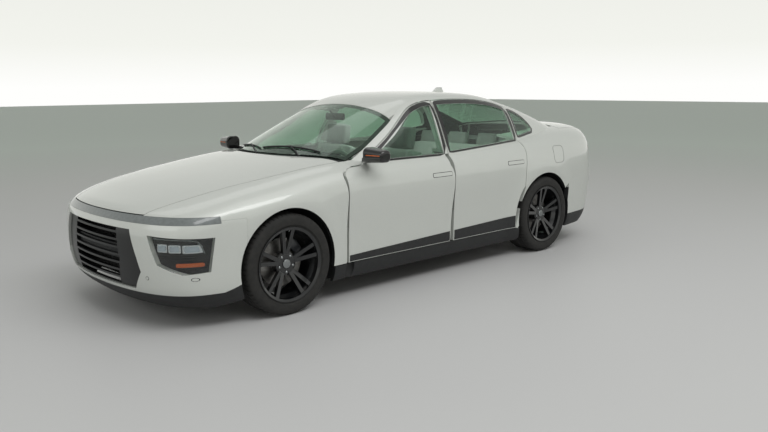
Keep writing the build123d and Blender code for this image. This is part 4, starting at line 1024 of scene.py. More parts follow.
# %% Ceramic borders and the rear window's heating wires
ceramic = finish("fired_black_ceramic", "#0A0B0B", 0.4)
mottle(ceramic, 5.0, "#090A0A", "#0E0F0F")
for name, node, tree, keep in (
    ("windscreen_border", "windshield", screen_skin, None),
    ("rear_window_border", "rear_glass", back_skin, lambda co: abs(co.y) < 0.58),
):
    pane = pane_outline(node, (0, 1), keep)
    bm = bmesh.new()
    flat_band(bm, pane, -3 * MM, -34 * MM, rows=3)
    lay(bm, tree, "top", -5.6 * MM, 0.8 * MM)
    settle(name, bm, ceramic, "body", "black_plastic")

wires = bmesh.new()
for x in spread(-1.14, -1.80, 10):
    flat_panel(wires, (x, 0), 1.6 * MM, 0.98, parts=(1, 24))
lay(wires, back_skin, "top", -5.6 * MM, 0.5 * MM)
settle("rear_window_heater", wires, dipped_steel, "body", "black_plastic")

press(
    "windscreen_sensor_patch",
    (ceramic, "body", "black_plastic"),
    (screen_skin, "top", -6.0 * MM, 1.0 * MM),
    ((0.372, 0), 62 * MM, 250 * MM, 0, (2, 6)),
    ((0.42, 0), 60 * MM, 80 * MM, 0, (2, 6)),
)
print("borders on", len(pane), "points")

# %% [markdown]
# ## Handles, flap and shut lines
#
# The pull handles lie flush in the doors: a painted blade in a thin dark surround. The fuel flap is
# only a rounded square line in the left rear wing.

# %% Flush door handles
for side, sign in SIDES:
    for end, x, z in (("front", 0.045, 0.812), ("rear", -0.885, 0.838)):
        door = f"{end}_door_{side}"
        press(
            f"handle_surround_{end}_{side}",
            (seal_rubber, door, "black_plastic"),
            (skin[door], side, 0.5 * MM, 2 * MM),
            ((x, z), 0.222, 0.036, 11 * MM, (10, 2)),
        )
        press(
            f"handle_blade_{end}_{side}",
            (pearl_paint, door, "body_paint"),
            (skin[door], side, 2.6 * MM, 3 * MM),
            ((x, z), 0.214, 0.028, 9 * MM, (10, 2)),
        )

# %% Fuel flap
left_side = skin_of("body_side_left")
flap_x, flap_z = -1.52, 0.87
bm = bmesh.new()
flat_panel(bm, (flap_x, flap_z), 0.150, 0.150, corner=34 * MM, parts=(3, 3))
flap = [Vector((vert.co.x, vert.co.y)) for vert in bm.verts if vert.is_boundary]
flap.sort(key=lambda p: math.atan2(p.y - flap_z, p.x - flap_x))
bm.free()
flap_line = [touch(left_side, "left", *p, 0.1 * MM) for p in flap]
tube("fuel_flap_line", flap_line, 1.3 * MM, seal_rubber, "body", "black_plastic", closed=True, smooth=False)
print("flap line of", len(flap_line), "points")

# %% [markdown]
# ## Wipers, aerial and mirrors
#
# Both wiper arms pivot on the left of their blades and rest along the foot of the screen. A blade is a
# rubber strip under a slim spoiler. The aerial sits in a fin at the back of the roof.

# %% Wipers
trim_skin = skin_of("black_trim")
for name, start, stop, pivot_spot in (
    ("driver", (0.925, 0.50), (1.045, -0.05), (1.035, 0.38)),
    ("passenger", (1.052, -0.08), (0.925, -0.50), (1.112, -0.05)),
):
    spots = [[a + (b - a) * t for a, b in zip(start, stop)] for t in spread(0, 1, 13)]
    edge, back = ([touch(screen_skin, "top", *spot, lift) for spot in spots] for lift in (3 * MM, 9 * MM))
    tube(f"wiper_rubber_{name}", edge, 2.6 * MM, seal_rubber, "body", "black_plastic")
    tube(f"wiper_blade_{name}", back, 5 * MM, grained_black, "body", "black_plastic")
    middle = touch(screen_skin, "top", *spots[6], 15 * MM)
    foot = touch(trim_skin, "top", *pivot_spot, 8 * MM)
    knee = foot.lerp(middle, 0.45) + Vector((0, 0, 8 * MM))
    bow = [foot, foot.lerp(knee, 0.5) + Vector((0, 0, 5 * MM)), knee, middle]
    tube(f"wiper_arm_{name}", bow, 5.5 * MM, grained_black, "body", "black_plastic")
    nut = (foot, (0.3, 0, 1), 13 * MM, 20 * MM, 24, 10 * MM)
    discs(f"wiper_pivot_{name}", (grained_black, "body", "black_plastic"), nut)

# %% Roof aerial
bm = bmesh.new()
roof_skin = skin_of("roof_panel")
base = touch(roof_skin, "top", -0.86, 0)
fin = add_box(bm, base + Vector((-0.085, -0.022, -0.012)), base + Vector((0.085, 0.022, 0.052)))
for vert in fin:
    if vert.co.z > base.z:
        vert.co.y *= 0.22
        vert.co.x = base.x - 0.03 + (vert.co.x - base.x) * 0.42
soften(bm, bm.edges[:], 8 * MM, 4)
settle("roof_aerial", bm, pearl_paint, "body", "body_paint", sharp=60)

# %% Mirror glasses and turn repeaters
for side, sign in SIDES:
    door, mirror = f"front_door_{side}", f"mirror_{side}"
    press(
        f"mirror_glass_{side}",
        (mirror_silver, door, "glass"),
        (skin[mirror], "tail", 0.8 * MM, 2 * MM),
        ((sign * 0.962, 1.010), 0.128, 0.074, 14 * MM, (6, 4)),
    )
    press(
        f"mirror_repeater_{side}",
        (amber_lens, door, "clear_lens"),
        (skin[mirror], "nose", 0.9 * MM, 2 * MM),
        ((sign * 0.972, 1.014), 0.118, 0.007, 0, (12, 1)),
    )
print("objects", len(bpy.data.objects))

# %% [markdown]
# ## Lamps with something inside
#
# An empty lamp looks like a hole. Behind the clear lens sit three square projectors in bright frames, a
# light guide that runs along the upper edge as a day light, and an amber marker at the outer corner.

# %% Headlamp insides
housing_skin = skin_of("front_lamps")
projector_glass = finish(
    "projector_lens_glass", "#AEB9C2", 0.04, Metallic=0.4, Coat_Weight=1.0, Coat_Roughness=0.02
)
uneven(projector_glass, 20.0, 0.02, 0.08)
for side, sign in SIDES:
    middles = [(sign * y, z) for y, z in ((0.690, 0.536), (0.752, 0.533), (0.813, 0.530))]
    press(
        f"projector_frames_{side}",
        (reflector_silver, "body", "lamp_housing"),
        (housing_skin, "nose", 8 * MM, 8 * MM),
        *((middle, 0.056, 0.050, 8 * MM, (4, 4)) for middle in middles),
    )
    press(
        f"projector_eyes_{side}",
        (projector_glass, "body", "clear_lens"),
        (housing_skin, "nose", 12 * MM, 6 * MM),
        *((middle, 0.042, 0.036, 7 * MM, (4, 4)) for middle in middles),
    )
    guide = [(0.640, 0.590), (0.70, 0.590), (0.77, 0.587), (0.82, 0.583), (0.838, 0.568), (0.842, 0.50)]
    tube(
        f"day_light_guide_{side}",
        [touch(housing_skin, "nose", sign * y, z, 9 * MM) for y, z in guide],
        4.5 * MM,
        frosted_guide,
        "body",
        "clear_lens",
    )
    press(
        f"amber_marker_{side}",
        (amber_lens, "body", "clear_lens"),
        (housing_skin, "nose", 10 * MM, 6 * MM),
        ((sign * 0.797, 0.432), 0.084, 0.024, 6 * MM, (6, 2)),
    )
    press(
        f"lamp_fins_{side}",
        (dipped_steel, "body", "lamp_housing"),
        (housing_skin, "nose", 5 * MM, 4 * MM),
        *(((sign * 0.745, z), 0.15, 0.005, 0, (9, 1)) for z in spread(0.462, 0.492, 3)),
    )

# %% Tail-lamp guides and reflectors
for name, node, body, span in (
    ("trunk", "trunk_lamp", "trunk_lid", (-0.625, 0.625)),
    ("left", "tail_lamps", "body", (0.672, 0.822)),
    ("right", "tail_lamps", "body", (-0.822, -0.672)),
):
    middle, length = (span[0] + span[1]) / 2, span[1] - span[0]
    parts = (max(4, round(length / 0.03)), 1)
    press(
        f"tail_guide_{name}",
        (ruby_guide, body, "red_lens"),
        (skin_of(node), "tail", 1.0 * MM, 3 * MM),
        *(((middle, z), length, 6 * MM, 0, parts) for z in (0.889, 0.829)),
    )
press(
    "rear_reflectors",
    (ruby_lens, "body", "red_lens"),
    (skin_of("rear_bumper"), "tail", 1.5 * MM, 4 * MM),
    *(((sign * 0.66, 0.372), 0.13, 0.020, 6 * MM, (6, 2)) for sign in (1, -1)),
)
print("lamps filled")

# %% [markdown]
# ## Small things in the bumpers
#
# Four parking sensors sit in each bumper. The plate is a blank pressed aluminium sheet of 305 by 152 mm
# held by two screws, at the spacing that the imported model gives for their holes.

# %% Parking sensors and plate
for name, node, look, spots in (
    ("front", "front_bumper", "nose", ((0.60, 0.345), (0.84, 0.345))),
    ("rear", "rear_bumper", "tail", ((0.34, 0.54), (0.72, 0.55))),
):
    tree = skin_of(node)
    spots = [(sign * y, z) for sign in (1, -1) for y, z in spots]
    for part, radius, lift, wear in (
        ("rings", 12 * MM, 0.6 * MM, (seal_rubber, "body", "black_plastic")),
        ("eyes", 9.5 * MM, 1.4 * MM, (pearl_paint, "body", "body_paint")),
    ):
        places = ((spot, radius) for spot in spots)
        press(f"{name}_sensor_{part}", wear, (tree, look, lift, 2 * MM), *places, add=flat_disc)

plate_paint = finish("plate_reflective_white", "#D9DBD8", 0.35, Coat_Weight=0.3)
mottle(plate_paint, 4.0, "#D2D4D1", "#DEE0DD")
plate_screws = next(mount for mount in frame["record"]["mounts"] if mount["name"] == "plate_screws")
screw_x, _, screw_z = plate_screws["pos_m"]
bm = bmesh.new()
add_box(bm, (screw_x - 2.2 * MM, -0.1525, screw_z - 0.138), (screw_x - 0.2 * MM, 0.1525, screw_z + 0.014), 0)
soften(bm, [edge for edge in bm.edges if abs(edge.verts[0].co.x - edge.verts[1].co.x) > 1 * MM], 9 * MM, 4)
settle("blank_plate", bm, plate_paint, "body", "body_paint")
half_spacing = plate_screws["dims"]["spacing_x_mm"] / 2 * MM
discs(
    "plate_screw_heads",
    (stainless, "body", "suspension_steel"),
    *(
        ((screw_x - 4 * MM, sign * half_spacing, screw_z), (-1, 0, 0), 7 * MM, 4 * MM, 20, 4.5 * MM)
        for sign in (1, -1)
    ),
)
print("bumpers fitted")

# %% [markdown]
# ## Dark lower trim and painted shade
#
# A black moulding covers the bottom of the doors. It is a finger wide at the front and a hand wide at the rear wheel.
# It is partly a real moulding and partly painted shade, darkening the lower flank where the door tucks under. Behind
# the grille bars hangs a black mesh that keeps stones off the radiator.

# %% Door mouldings, partly painted shade
def moulding_and_shade_height(x):
    """How far the moulding, partly painted shade, reaches above the door's lower edge at a station along the car."""
    return (44 + 58 * (0.98 - x) / 1.85) * MM


# The moulding is black partly as painted shade on the lower doors, and it grows taller towards the rear.
for side, sign in SIDES:
    for end, x_front, x_rear in (("front", 0.992, -0.060), ("rear", -0.114, -0.896)):
        door = f"{end}_door_{side}"
        bm = bmesh.new()
        flat_panel(bm, ((x_front + x_rear) / 2, 0), x_front - x_rear, 1.0, parts=(30, 3))
        for vert in bm.verts:
            share = vert.co.y + 0.5
            vert.co.y = sill_top + 5 * MM + share * moulding_and_shade_height(vert.co.x)
        lay(bm, skin[door], side, 2.0 * MM, 3 * MM)
        settle(f"door_moulding_{end}_{side}", bm, grained_black, door, "black_plastic")

# %% Grille mesh
grille_low, grille_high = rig.box("grille")
mesh_panel = finish("black_grille_mesh", "#0B0B0C", 0.5)
uneven(mesh_panel, 8.0, 0.4, 0.6)
bm = bmesh.new()
for y in spread(-0.50, 0.50, 47):
    add_box(bm, (2.318, y - 1.5 * MM, grille_low.z + 0.012), (2.322, y + 1.5 * MM, grille_high.z - 0.012))
for z in spread(grille_low.z + 0.02, grille_high.z - 0.02, 17):
    add_box(bm, (2.314, -0.50, z - 1.5 * MM), (2.318, 0.50, z + 1.5 * MM))
add_box(bm, (2.296, -0.50, grille_low.z + 0.01), (2.300, 0.50, grille_high.z - 0.01))
settle("grille_mesh", bm, mesh_panel, "body", "grille_black")
print("lower trim and grille mesh done")

# %% [markdown]
# ## Seats
#
# A car seat is foam under a sewn cover: flat where the body rests, with raised bolsters at the sides
# and seams where the panels of cloth meet. Each pad starts as a finely divided cube. A superellipse
# rounds it off, so that its sides pull in between the corners, and the bolsters and the sewn channels
# are then pressed into its front face.


# %% A padded form
def pad(name, size, place, lean, bolster, channels, material, crown=0.22, cuts=25):
    """A pad of a size (depth, width, thickness) at a place, leaning back by an angle in degrees.
    Its padded face is the upper one. Channels are shares of its depth."""
    bm = bmesh.new()
    bmesh.ops.create_cube(bm, size=2)
    bmesh.ops.subdivide_edges(bm, edges=bm.edges[:], cuts=cuts, use_grid_fill=True)
    depth, width, thick = size
    for vert in bm.verts:
        u, w, t = vert.co
        pull = 1 - crown * max(abs(u), abs(w)) ** 5
        rise = t * pull
        side_in = 1 - 0.10 * abs(t) ** 4
        u_in = u * side_in * (1 - 0.045 * w**4)
        w_in = w * side_in * (1 - 0.045 * u**4)
        if t > 0.5:
            swell = max(0.0, (abs(w) - 0.60) / 0.40)
            rise += bolster / thick * 2 * math.sin(min(1.0, swell * 1.25) * math.pi) * (1 - 0.5 * u**6)
            for channel in channels:
                gap = abs(u - channel)
                if gap < 0.05 and abs(w) < 0.62:
                    rise -= 9 * MM / thick * 2 * (1 - gap / 0.05)
            if 0.575 < abs(w) < 0.64 and abs(u) < 0.93:
                rise -= 8 * MM / thick * 2
        vert.co = (u_in * depth / 2, w_in * width / 2, rise * thick / 2)
    bmesh.ops.smooth_vert(bm, verts=bm.verts, factor=0.4, use_axis_x=True, use_axis_y=True, use_axis_z=True)
    bmesh.ops.rotate(bm, verts=bm.verts, cent=(0, 0, 0), matrix=Matrix.Rotation(math.radians(lean), 3, "Y"))
    bmesh.ops.translate(bm, verts=bm.verts, vec=place)
    piece = settle(name, bm, material, "body", "seat_fabric", sharp=70)
    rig.padded(piece, fill=0.85)
    return piece


# %% Front seats
seat_y = 0.405
cushion_size, back_size, headrest_size = (0.530, 0.500, 0.150), (0.600, 0.480, 0.120), (0.180, 0.260, 0.095)
for side, sign in SIDES:
    y = sign * seat_y
    for piece in (
        pad(f"front_cushion_{side}", cushion_size, (0.425, y, 0.372), -6, 0.024, (0.25, -0.25), seat_cloth),
        pad(f"front_back_{side}", back_size, (0.095, y, 0.690), 75, 0.030, (0.35, 0.0, -0.35), seat_cloth),
        pad(f"front_headrest_{side}", headrest_size, (-0.005, y, 1.070), 80, 0.0, (), bolster_hide, cuts=15),
    ):
        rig.replaces(piece, "front_seats")
    discs(
        f"headrest_posts_{side}",
        (stainless, "body", "suspension_steel"),
        *(((0.012, y + lean * 0.06, 0.965), (-0.12, 0, 1), 6 * MM, 0.14, 12) for lean in (-1, 1)),
    )
    rails = [y + lean * 0.236 for lean in (-1, 1)]
    boxes(
        f"seat_frame_{side}",
        (soft_trim, "body", "interior_plastic"),
        ((0.16, y - 0.225, 0.186), (0.66, y + 0.225, 0.300), 12 * MM),
        *(((0.02, rail - 0.012, 0.27), (0.30, rail + 0.012, 0.40), 8 * MM) for rail in rails),
    )

# %% Rear bench
for piece in (
    pad("rear_cushion", (0.560, 1.190, 0.150), (-0.710, 0, 0.385), -4, 0.012, (0.3, -0.3), seat_cloth),
    pad("rear_back", (0.600, 1.170, 0.130), (-1.035, 0, 0.660), 68, 0.016, (0.4, 0.05, -0.3), seat_cloth),
):
    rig.replaces(piece, "rear_seat")
low_headrest = (0.130, 0.230, 0.075)
for name, y in (("left", 0.36), ("middle", 0.0), ("right", -0.36)):
    pad(f"rear_headrest_{name}", low_headrest, (-1.165, y, 0.985), 74, 0.0, (), bolster_hide, cuts=11)
bench_base = ((-0.985, -0.590, 0.187), (-0.445, 0.590, 0.330), 15 * MM)
boxes("rear_seat_base", (soft_trim, "body", "interior_plastic"), bench_base)
print("seats done")

# %% [markdown]
# ## Dashboard and controls
#
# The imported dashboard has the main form. On it go the driver's display and the centre screen in one
# housing, slatted air vents, and the wheel's own leather, boss and spoke keys, with two stalks behind it.

# %% Displays and vents
bm = bmesh.new()
add_box(bm, (0.800, 0.10, 0.905), (0.812, 0.60, 1.005), 5 * MM)
add_box(bm, (0.790, -0.20, 0.900), (0.802, 0.09, 1.010), 5 * MM)
bmesh.ops.rotate(bm, verts=bm.verts, cent=(0.80, 0, 0.90), matrix=Matrix.Rotation(math.radians(8), 3, "Y"))
settle("display_glass", bm, display_glass, "body", "gloss_black")
bm = bmesh.new()
add_box(bm, (0.804, -0.205, 0.880), (0.860, 0.605, 0.998), 12 * MM)
bmesh.ops.rotate(bm, verts=bm.verts, cent=(0.80, 0, 0.90), matrix=Matrix.Rotation(math.radians(8), 3, "Y"))
settle("display_housing", bm, soft_trim, "body", "interior_plastic")
vents = ((0.625, 0.715), (-0.14, 0.08), (-0.715, -0.625))
boxes(
    "vent_frames",
    (piano_black, "body", "gloss_black"),
    *(((0.765, right, 0.822), (0.785, left, 0.860), 4 * MM) for right, left in vents),
)
boxes(
    "vent_slats",
    (bright_trim, "body", "interior_plastic"),
    *(
        ((0.758, right + 7 * MM, z - 1.2 * MM), (0.768, left - 7 * MM, z + 1.2 * MM))
        for right, left in vents
        for z in spread(0.828, 0.854, 4)
    ),
)

# %% Steering wheel, stalks and pedals
wheel_middle = Vector((0.590, 0.385, 0.835))
tilt_over = Matrix.Rotation(math.radians(-65), 3, "Y")
rim_points = [
    wheel_middle + tilt_over @ Vector((0.178 * math.cos(a), 0.178 * math.sin(a), 0))
    for a in (math.tau * i / 40 for i in range(40))
]
tube("steering_wheel_cover", rim_points, 17.5 * MM, bolster_hide, "body", "interior_plastic", closed=True)
bm = bmesh.new()
add_box(bm, (-0.062, -0.070, -0.006), (0.050, 0.070, 0.046), 16 * MM, 3)
for lean in (-1, 1):
    add_box(bm, (-0.022, lean * 0.112 - 0.030, 0.004), (0.022, lean * 0.112 + 0.030, 0.024), 7 * MM)
bmesh.ops.transform(bm, matrix=Matrix.Translation(wheel_middle) @ tilt_over.to_4x4(), verts=bm.verts)
settle("steering_wheel_boss", bm, soft_trim, "body", "interior_plastic")
bm = bmesh.new()
for lean in (-1, 1):
    for step in (-0.012, 0.012):
        low = (step - 0.008, lean * 0.112 - 0.018, 0.022)
        high = (step + 0.008, lean * 0.112 + 0.018, 0.028)
        add_box(bm, low, high, 2 * MM)
bmesh.ops.transform(bm, matrix=Matrix.Translation(wheel_middle) @ tilt_over.to_4x4(), verts=bm.verts)
settle("steering_wheel_keys", bm, bright_trim, "body", "interior_plastic")
for lean, name in ((1, "lamp"), (-1, "wiper")):
    root = wheel_middle + tilt_over @ Vector((0.03, lean * 0.03, -0.075))
    tip = wheel_middle + tilt_over @ Vector((0.045, lean * 0.165, -0.055))
    tube(f"{name}_stalk", [root, root.lerp(tip, 0.5), tip], 8 * MM, soft_trim, "body", "interior_plastic")
boxes(
    "pedals",
    (stainless, "body", "suspension_steel"),
    ((0.905, 0.305, 0.290), (0.925, 0.355, 0.34), 4 * MM),
    ((0.905, 0.385, 0.290), (0.925, 0.435, 0.40), 4 * MM),
    ((0.90, 0.52, 0.230), (0.915, 0.60, 0.36), 4 * MM),
)

# %% Centre console
armrest = ((0.160, -0.105, 0.500), (0.430, 0.105, 0.585), 22 * MM, 4)
boxes("console_armrest", (bolster_hide, "body", "interior_plastic"), armrest, sharp=60)
tray = ((0.450, -0.100, 0.512), (0.850, 0.100, 0.526), 5 * MM)
boxes("console_top", (piano_black, "body", "gloss_black"), tray)
bm = bmesh.new()
add_disc(bm, (0.600, 0.045, 0.534), (0, 0, 1), 26 * MM, 22 * MM, sides=40, top=23 * MM)
for y in (-0.045, 0.0):
    add_box(bm, (0.520, y - 0.014, 0.526), (0.560, y + 0.014, 0.531), 2 * MM)
settle("gear_dial", bm, bright_trim, "body", "interior_plastic")
cups = (((x, -0.035, 0.528), (0, 0, 1), 36 * MM, 6 * MM, 36, 33 * MM) for x in (0.690, 0.775))
discs("cup_holders", (seal_rubber, "body", "black_plastic"), *cups)
print("dashboard dressed")

# %% [markdown]
# ## Cabin fittings
#
# The inner mirror hangs from the screen, belts run down the centre posts, and each door wears a card with an armrest,
# a bright release lever and a speaker grille.

# %% Inner mirror, visors and belts
mirror_foot = touch(screen_skin, "top", 0.43, 0, -6 * MM)
bm = bmesh.new()
shell_low = mirror_foot + Vector((-0.075, -0.115, -0.085))
shell_high = mirror_foot + Vector((-0.052, 0.115, -0.030))
add_box(bm, shell_low, shell_high, 9 * MM, 3)
add_disc(bm, mirror_foot + Vector((-0.028, 0, -0.030)), (0.8, 0, 1), 8 * MM, 0.075, sides=16)
settle("inner_mirror", bm, soft_trim, "body", "interior_plastic")
glass_low = mirror_foot + Vector((-0.0775, -0.105, -0.078))
glass_high = mirror_foot + Vector((-0.0745, 0.105, -0.037))
boxes("inner_mirror_glass", (mirror_silver, "body", "glass"), (glass_low, glass_high))
bm = bmesh.new()
for sign in (1, -1):
    add_box(bm, (0.110, sign * 0.36 - 0.17, 1.318), (0.262, sign * 0.36 + 0.17, 1.330), 5 * MM)
    leading = [vert for vert in bm.verts if vert.co.y * sign > 0 and vert.co.x > 0.18]
    bmesh.ops.translate(bm, verts=leading, vec=(0, 0, -0.03))
settle("sun_visors", bm, roof_lining, "body", "interior_plastic")
for side, sign in SIDES:
    course = [(-0.175, 0.655, 1.17), (-0.150, 0.690, 0.95), (-0.130, 0.745, 0.62), (-0.125, 0.750, 0.32)]
    bm = bmesh.new()
    ring = [bm.verts.new(Vector((x, sign * y, z)) + Vector((-23 * MM, 0, 0))) for x, y, z in course]
    edges = [bm.edges.new(pair) for pair in zip(ring, ring[1:])]
    moved = bmesh.ops.extrude_edge_only(bm, edges=edges)["geom"]
    far_edge = [item for item in moved if isinstance(item, bmesh.types.BMVert)]
    bmesh.ops.translate(bm, verts=far_edge, vec=(46 * MM, 0, 0))
    bmesh.ops.solidify(bm, geom=bm.faces[:], thickness=1.2 * MM)
    settle(f"seat_belt_{side}", bm, seat_cloth, "body", "seat_fabric")
print("cabin fittings done")

# %% Door cards
for side, sign in SIDES:
    look = f"inner_{side}"
    for end, x_rear, x_front, lever in (("front", -0.02, 0.86, 0.70), ("rear", -0.80, -0.20, -0.30)):
        door = f"{end}_door_{side}"
        middle, length = (x_rear + x_front) / 2, x_front - x_rear
        press(
            f"door_card_{end}_{side}",
            (pale_trim, door, "interior_plastic"),
            (skin[door], look, 5 * MM, 6 * MM),
            ((middle, 0.60), length, 0.60, 34 * MM, (12, 8)),
        )
        press(
            f"door_insert_{end}_{side}",
            (seat_cloth, door, "seat_fabric"),
            (skin[door], look, 11 * MM, 8 * MM),
            ((middle, 0.80), length - 0.06, 0.13, 12 * MM, (12, 3)),
        )
        rest = touch(skin[door], look, middle, 0.66)
        near, far = sorted((rest.y - sign * 0.052, rest.y + sign * 0.01))
        arm = ((x_rear + 0.06, near, 0.640), (x_front - 0.10, far, 0.690), 14 * MM, 3)
        boxes(f"armrest_{end}_{side}", (bolster_hide, door, "interior_plastic"), arm, sharp=60)
        spot = touch(skin[door], look, lever, 0.80)
        near, far = sorted((spot.y, spot.y - sign * 0.022))
        release = ((lever - 0.045, near, 0.790), (lever + 0.045, far, 0.812), 5 * MM)
        boxes(f"door_release_{end}_{side}", (bright_trim, door, "interior_plastic"), release)
        press(
            f"door_speaker_{end}_{side}",
            (mesh_panel, door, "black_plastic"),
            (skin[door], look, 8 * MM, 5 * MM),
            ((x_front - 0.16, 0.44), 74 * MM, 40),
            add=flat_disc,
        )
print("door cards done")

# %% [markdown]
# ## Under the hood
#
# The engine block stays plain and wears a moulded acoustic cover. Round it stand the air cleaner, the
# battery, the coolant tank and the brake fluid reservoir, and a hose leads to the radiator.

# %% Engine cover and intake
bm = bmesh.new()
add_box(bm, (1.500, -0.285, 0.724), (1.960, 0.285, 0.756), 14 * MM, 3)
for y in spread(-0.20, 0.20, 5):
    add_box(bm, (1.540, y - 0.014, 0.752), (1.920, y + 0.014, 0.763), 4 * MM)
settle("engine_cover", bm, grained_black, "body", "black_plastic")
UP = (0, 0, 1)
bay_black = (grained_black, "body", "black_plastic")
oil_cap = ((1.72, 0.235, 0.770), UP, 24 * MM, 18 * MM, 12)
discs("oil_filler_cap", (amber_lens, "body", "black_plastic"), oil_cap)
boxes("air_cleaner", bay_black, ((1.90, 0.315, 0.530), (2.16, 0.415, 0.700), 12 * MM))

# %% Battery, tanks and hoses
case = ((1.88, -0.415, 0.530), (2.12, -0.315, 0.690), 8 * MM)
boxes("battery", (soft_trim, "body", "black_plastic"), case)
poles = (((x, -0.365, 0.697), UP, 9 * MM, 16 * MM, 16) for x in (1.92, 2.08))
discs("battery_posts", (cast_aluminium, "body", "engine_metal"), *poles)
tank_plastic = finish("milky_tank_plastic", "#C9C7BC", 0.4)
mottle(tank_plastic, 40.0, "#C2C0B4", "#D2D0C6")
coolant_tank = ((1.20, -0.41, 0.62), (1.36, -0.33, 0.74), 16 * MM, 3)
brake_tank = ((1.14, 0.37, 0.66), (1.24, 0.44, 0.76), 12 * MM, 3)
boxes("fluid_tanks", (tank_plastic, "body", "lamp_housing"), coolant_tank, brake_tank)
coolant_cap = ((1.28, -0.37, 0.750), UP, 22 * MM, 22 * MM, 20)
brake_cap = ((1.19, 0.405, 0.768), UP, 20 * MM, 20 * MM, 20)
discs("tank_caps", bay_black, coolant_cap, brake_cap)
coolant_course = ((1.96, -0.24, 0.69), (2.06, -0.25, 0.70), (2.12, -0.22, 0.66), (2.195, -0.20, 0.62))
for name, radius, course in (
    ("upper_coolant_hose", 19, coolant_course),
    ("intake_duct", 30, ((1.94, 0.365, 0.66), (1.84, 0.40, 0.68), (1.72, 0.38, 0.68), (1.62, 0.30, 0.66))),
    ("bay_harness", 9, ((1.24, -0.36, 0.66), (1.42, -0.35, 0.70), (1.62, -0.35, 0.66), (1.90, -0.36, 0.68))),
):
    tube(name, course, radius * MM, seal_rubber, "body", "black_plastic")

# %% Strut caps and hood liner
bm = bmesh.new()
for sign in (1, -1):
    add_disc(bm, (1.515, sign * 0.530, 0.842), (0, 0, 1), 52 * MM, 12 * MM, sides=32, top=44 * MM)
    for a in (math.tau * turn / 3 for turn in range(3)):
        nut = (1.515 + 0.036 * math.cos(a), sign * 0.530 + 0.036 * math.sin(a), 0.852)
        add_disc(bm, nut, (0, 0, 1), 7 * MM, 12 * MM, sides=6)
settle("strut_caps", bm, dipped_steel, "body", "suspension_steel")
hood_skin = skin_of("hood")
hood_felt = (liner_felt, "hood", "liner")
blanket = ((1.62, 0), 0.84, 1.06, 60 * MM, (10, 12))
press("hood_liner", hood_felt, (hood_skin, "below", 3 * MM, 6 * MM), blanket)
ribs = (((x, 0), 0.050, 0.98, 12 * MM, (2, 12)) for x in (1.38, 1.62, 1.86))
press("hood_liner_ribs", hood_felt, (hood_skin, "below", 8 * MM, 8 * MM), *ribs)
print("engine bay done")

# %% [markdown]
# ## The trunk and the underside
#
# The luggage space has a carpet mat, and the lid a felt liner. Under the floor, flat plastic trays smooth
# the air, and two straps hold the exhaust silencer.

# %% Trunk lining
boxes("trunk_mat", (floor_carpet, "body", "liner"), ((-2.21, -0.585, 0.3365), (-1.36, 0.585, 0.350), 5 * MM))
press(
    "trunk_lid_liner",
    (liner_felt, "trunk_lid", "liner"),
    (skin_of("trunk_lid"), "below", 2.5 * MM, 5 * MM),
    ((-2.105, 0), 0.18, 1.10, 20 * MM, (4, 10)),
)

# %% Undertrays and silencer straps
bm = bmesh.new()
for x_low, x_high in ((-0.92, -0.10), (-0.08, 0.50), (0.52, 1.08)):
    for sign in (1, -1):
        right, left = sorted((sign * 0.14, sign * 0.60))
        add_box(bm, (x_low, right, 0.160), (x_high, left, 0.169), 3 * MM)
        for y in spread(0.20, 0.54, 4):
            low = (x_low + 0.04, sign * y - 0.010, 0.156)
            high = (x_high - 0.04, sign * y + 0.010, 0.162)
            add_box(bm, low, high, 2 * MM)
settle("undertrays", bm, grained_black, "body", "black_plastic")
straps = (((x - 0.010, -0.425, 0.201), (x + 0.010, 0.425, 0.2645), 3 * MM) for x in (-2.12, -1.98))
boxes("silencer_straps", (dipped_steel, "body", "exhaust_steel"), *straps)
print("pieces", sum(1 for item in bpy.data.objects if item.type == "MESH"))

# %% [markdown]
# ## Floor, light and camera
#
# A pale floor, painted lighter further from the car as painted light and a little greener far off, and soft lamps show
# the panels without hard glints. A small courtesy lamp under the roof lights the cabin, since little light gets in
# through solid panes. The sky is white over the horizon and greyer overhead, as under thin cloud. It is dimmer as a
# lamp than it looks, so that it doesn't wash out the colours. The camera stands ahead of the left front corner, at a
# tall person's eye level.

# %% Floor
bm = bmesh.new()
bmesh.ops.create_grid(bm, x_segments=1, y_segments=1, size=60)
floor_mesh = bpy.data.meshes.new("studio_floor")
bm.to_mesh(floor_mesh)
bm.free()
floor_paint = finish("pale_floor_paint", "#BABAB9", 0.55)
reach = place_of(floor_paint, (0.05, 0.05, 0.05))
away = add_node(floor_paint, "ShaderNodeVectorMath", {"operation": "LENGTH"}, {0: reach})
# The floor is painted lighter further from the car, as painted light, and turns greener far off.
painted_floor_light_stops = [(0.15, "#C6C6C6"), (0.35, "#D0D1CF"), (0.75, "#DCE6DE")]
feed(floor_paint, "Base Color", graded(floor_paint, away.outputs["Value"], painted_floor_light_stops))
floor_mesh.materials.append(floor_paint)
studio_floor = bpy.data.objects.new("studio_floor", floor_mesh)
bpy.context.scene.collection.objects.link(studio_floor)
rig.stage(studio_floor)

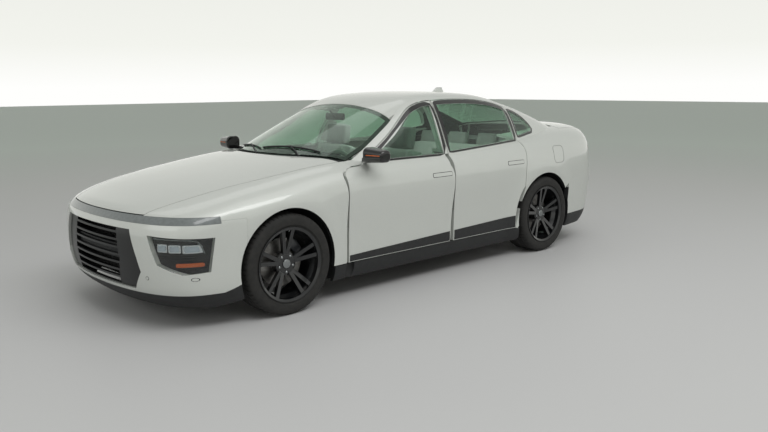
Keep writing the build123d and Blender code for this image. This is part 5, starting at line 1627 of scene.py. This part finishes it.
# %% World and lamps
world = bpy.data.worlds.new("studio")
bpy.context.scene.world = world
world.use_nodes = True
sky = world.node_tree.nodes["Background"]
ray_way = add_node(world, "ShaderNodeTexCoord").outputs["Generated"]
way_up = add_node(world, "ShaderNodeSeparateXYZ", inputs={"Vector": ray_way})
heights = [(0.0, "#FFFFFD"), (0.05, "#F3F4EE"), (0.12, "#EEEFE9"), (0.55, "#B6B8B4")]
cloud = graded(world, way_up.outputs["Z"], heights)
world.node_tree.links.new(cloud, sky.inputs["Color"])
rays = add_node(world, "ShaderNodeLightPath")
eye, through, mirrored = (rays.outputs[f"Is {kind} Ray"] for kind in ("Camera", "Transmission", "Glossy"))
seen = add_node(world, "ShaderNodeMath", {"operation": "MAXIMUM"}, {0: eye, 1: through})
shown = add_node(world, "ShaderNodeMath", {"operation": "MAXIMUM"}, {0: seen.outputs[0], 1: mirrored})
as_lamp, as_seen = 0.62, 1.0
strengths = {"Value": shown.outputs[0], "To Min": as_lamp, "To Max": as_seen}
level = add_node(world, "ShaderNodeMapRange", inputs=strengths)
world.node_tree.links.new(level.outputs["Result"], sky.inputs["Strength"])


def soft_lamp(name, place, target, width, height, watts, seen=True):
    """A rectangular lamp at a place, facing a target."""
    lamp = bpy.data.lights.new(name, "AREA")
    lamp.shape, lamp.size, lamp.size_y, lamp.energy = "RECTANGLE", width, height, watts
    holder = bpy.data.objects.new(name, lamp)
    holder.location = place
    holder.rotation_euler = (Vector(target) - Vector(place)).to_track_quat("-Z", "Y").to_euler()
    holder.visible_camera = holder.visible_transmission = holder.visible_glossy = seen
    bpy.context.scene.collection.objects.link(holder)


car_middle = (cad_low + cad_high) / 2
soft_lamp("ceiling_lamp", (0, 3.0, 8.0), car_middle, 9, 5, 90)
soft_lamp("left_lamp", (1.0, 6.0, 7.0), car_middle, 9, 3, 330)
soft_lamp("front_lamp", (8.0, 0.5, 3.8), car_middle, 6, 3, 60)
soft_lamp("right_lamp", (-1.0, -5.0, 9.0), car_middle, 9, 3, 50)
soft_lamp("courtesy_lamp", (-0.35, 0, 1.36), (-0.35, 0, 0), 1.0, 0.8, 9, seen=False)

# %% Camera
camera_data = bpy.data.cameras.new("camera")
camera_data.lens, camera_data.sensor_width = 35.76, 36
camera = bpy.data.objects.new("camera", camera_data)
camera.location = (4.407, 4.878, 1.495)
heading, tilt, roll = (math.radians(a) for a in (-133.24, -9.714, -0.315))
forward = Vector((math.cos(heading) * math.cos(tilt), math.sin(heading) * math.cos(tilt), math.sin(tilt)))
aim = forward.to_track_quat("-Z", "Y") @ Matrix.Rotation(roll, 3, "Z").to_quaternion()
camera.rotation_euler = aim.to_euler()
bpy.context.scene.collection.objects.link(camera)
bpy.context.scene.camera = camera
bpy.context.scene.view_settings.view_transform = "Standard"

# %% [markdown]
# ## Write down the size and finish
#
# The dressed car has to stay within the imported model's size, so both boxes are written down side by
# side before the frame is closed.

# %% Sizes
dressed_low, dressed_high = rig.bounds()
with open("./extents.json", "w") as out:
    json.dump({"cad": [list(cad_low), list(cad_high)], "visual": [list(dressed_low), list(dressed_high)]}, out)
print("dressed size", [round(v, 3) for v in dressed_high - dressed_low])
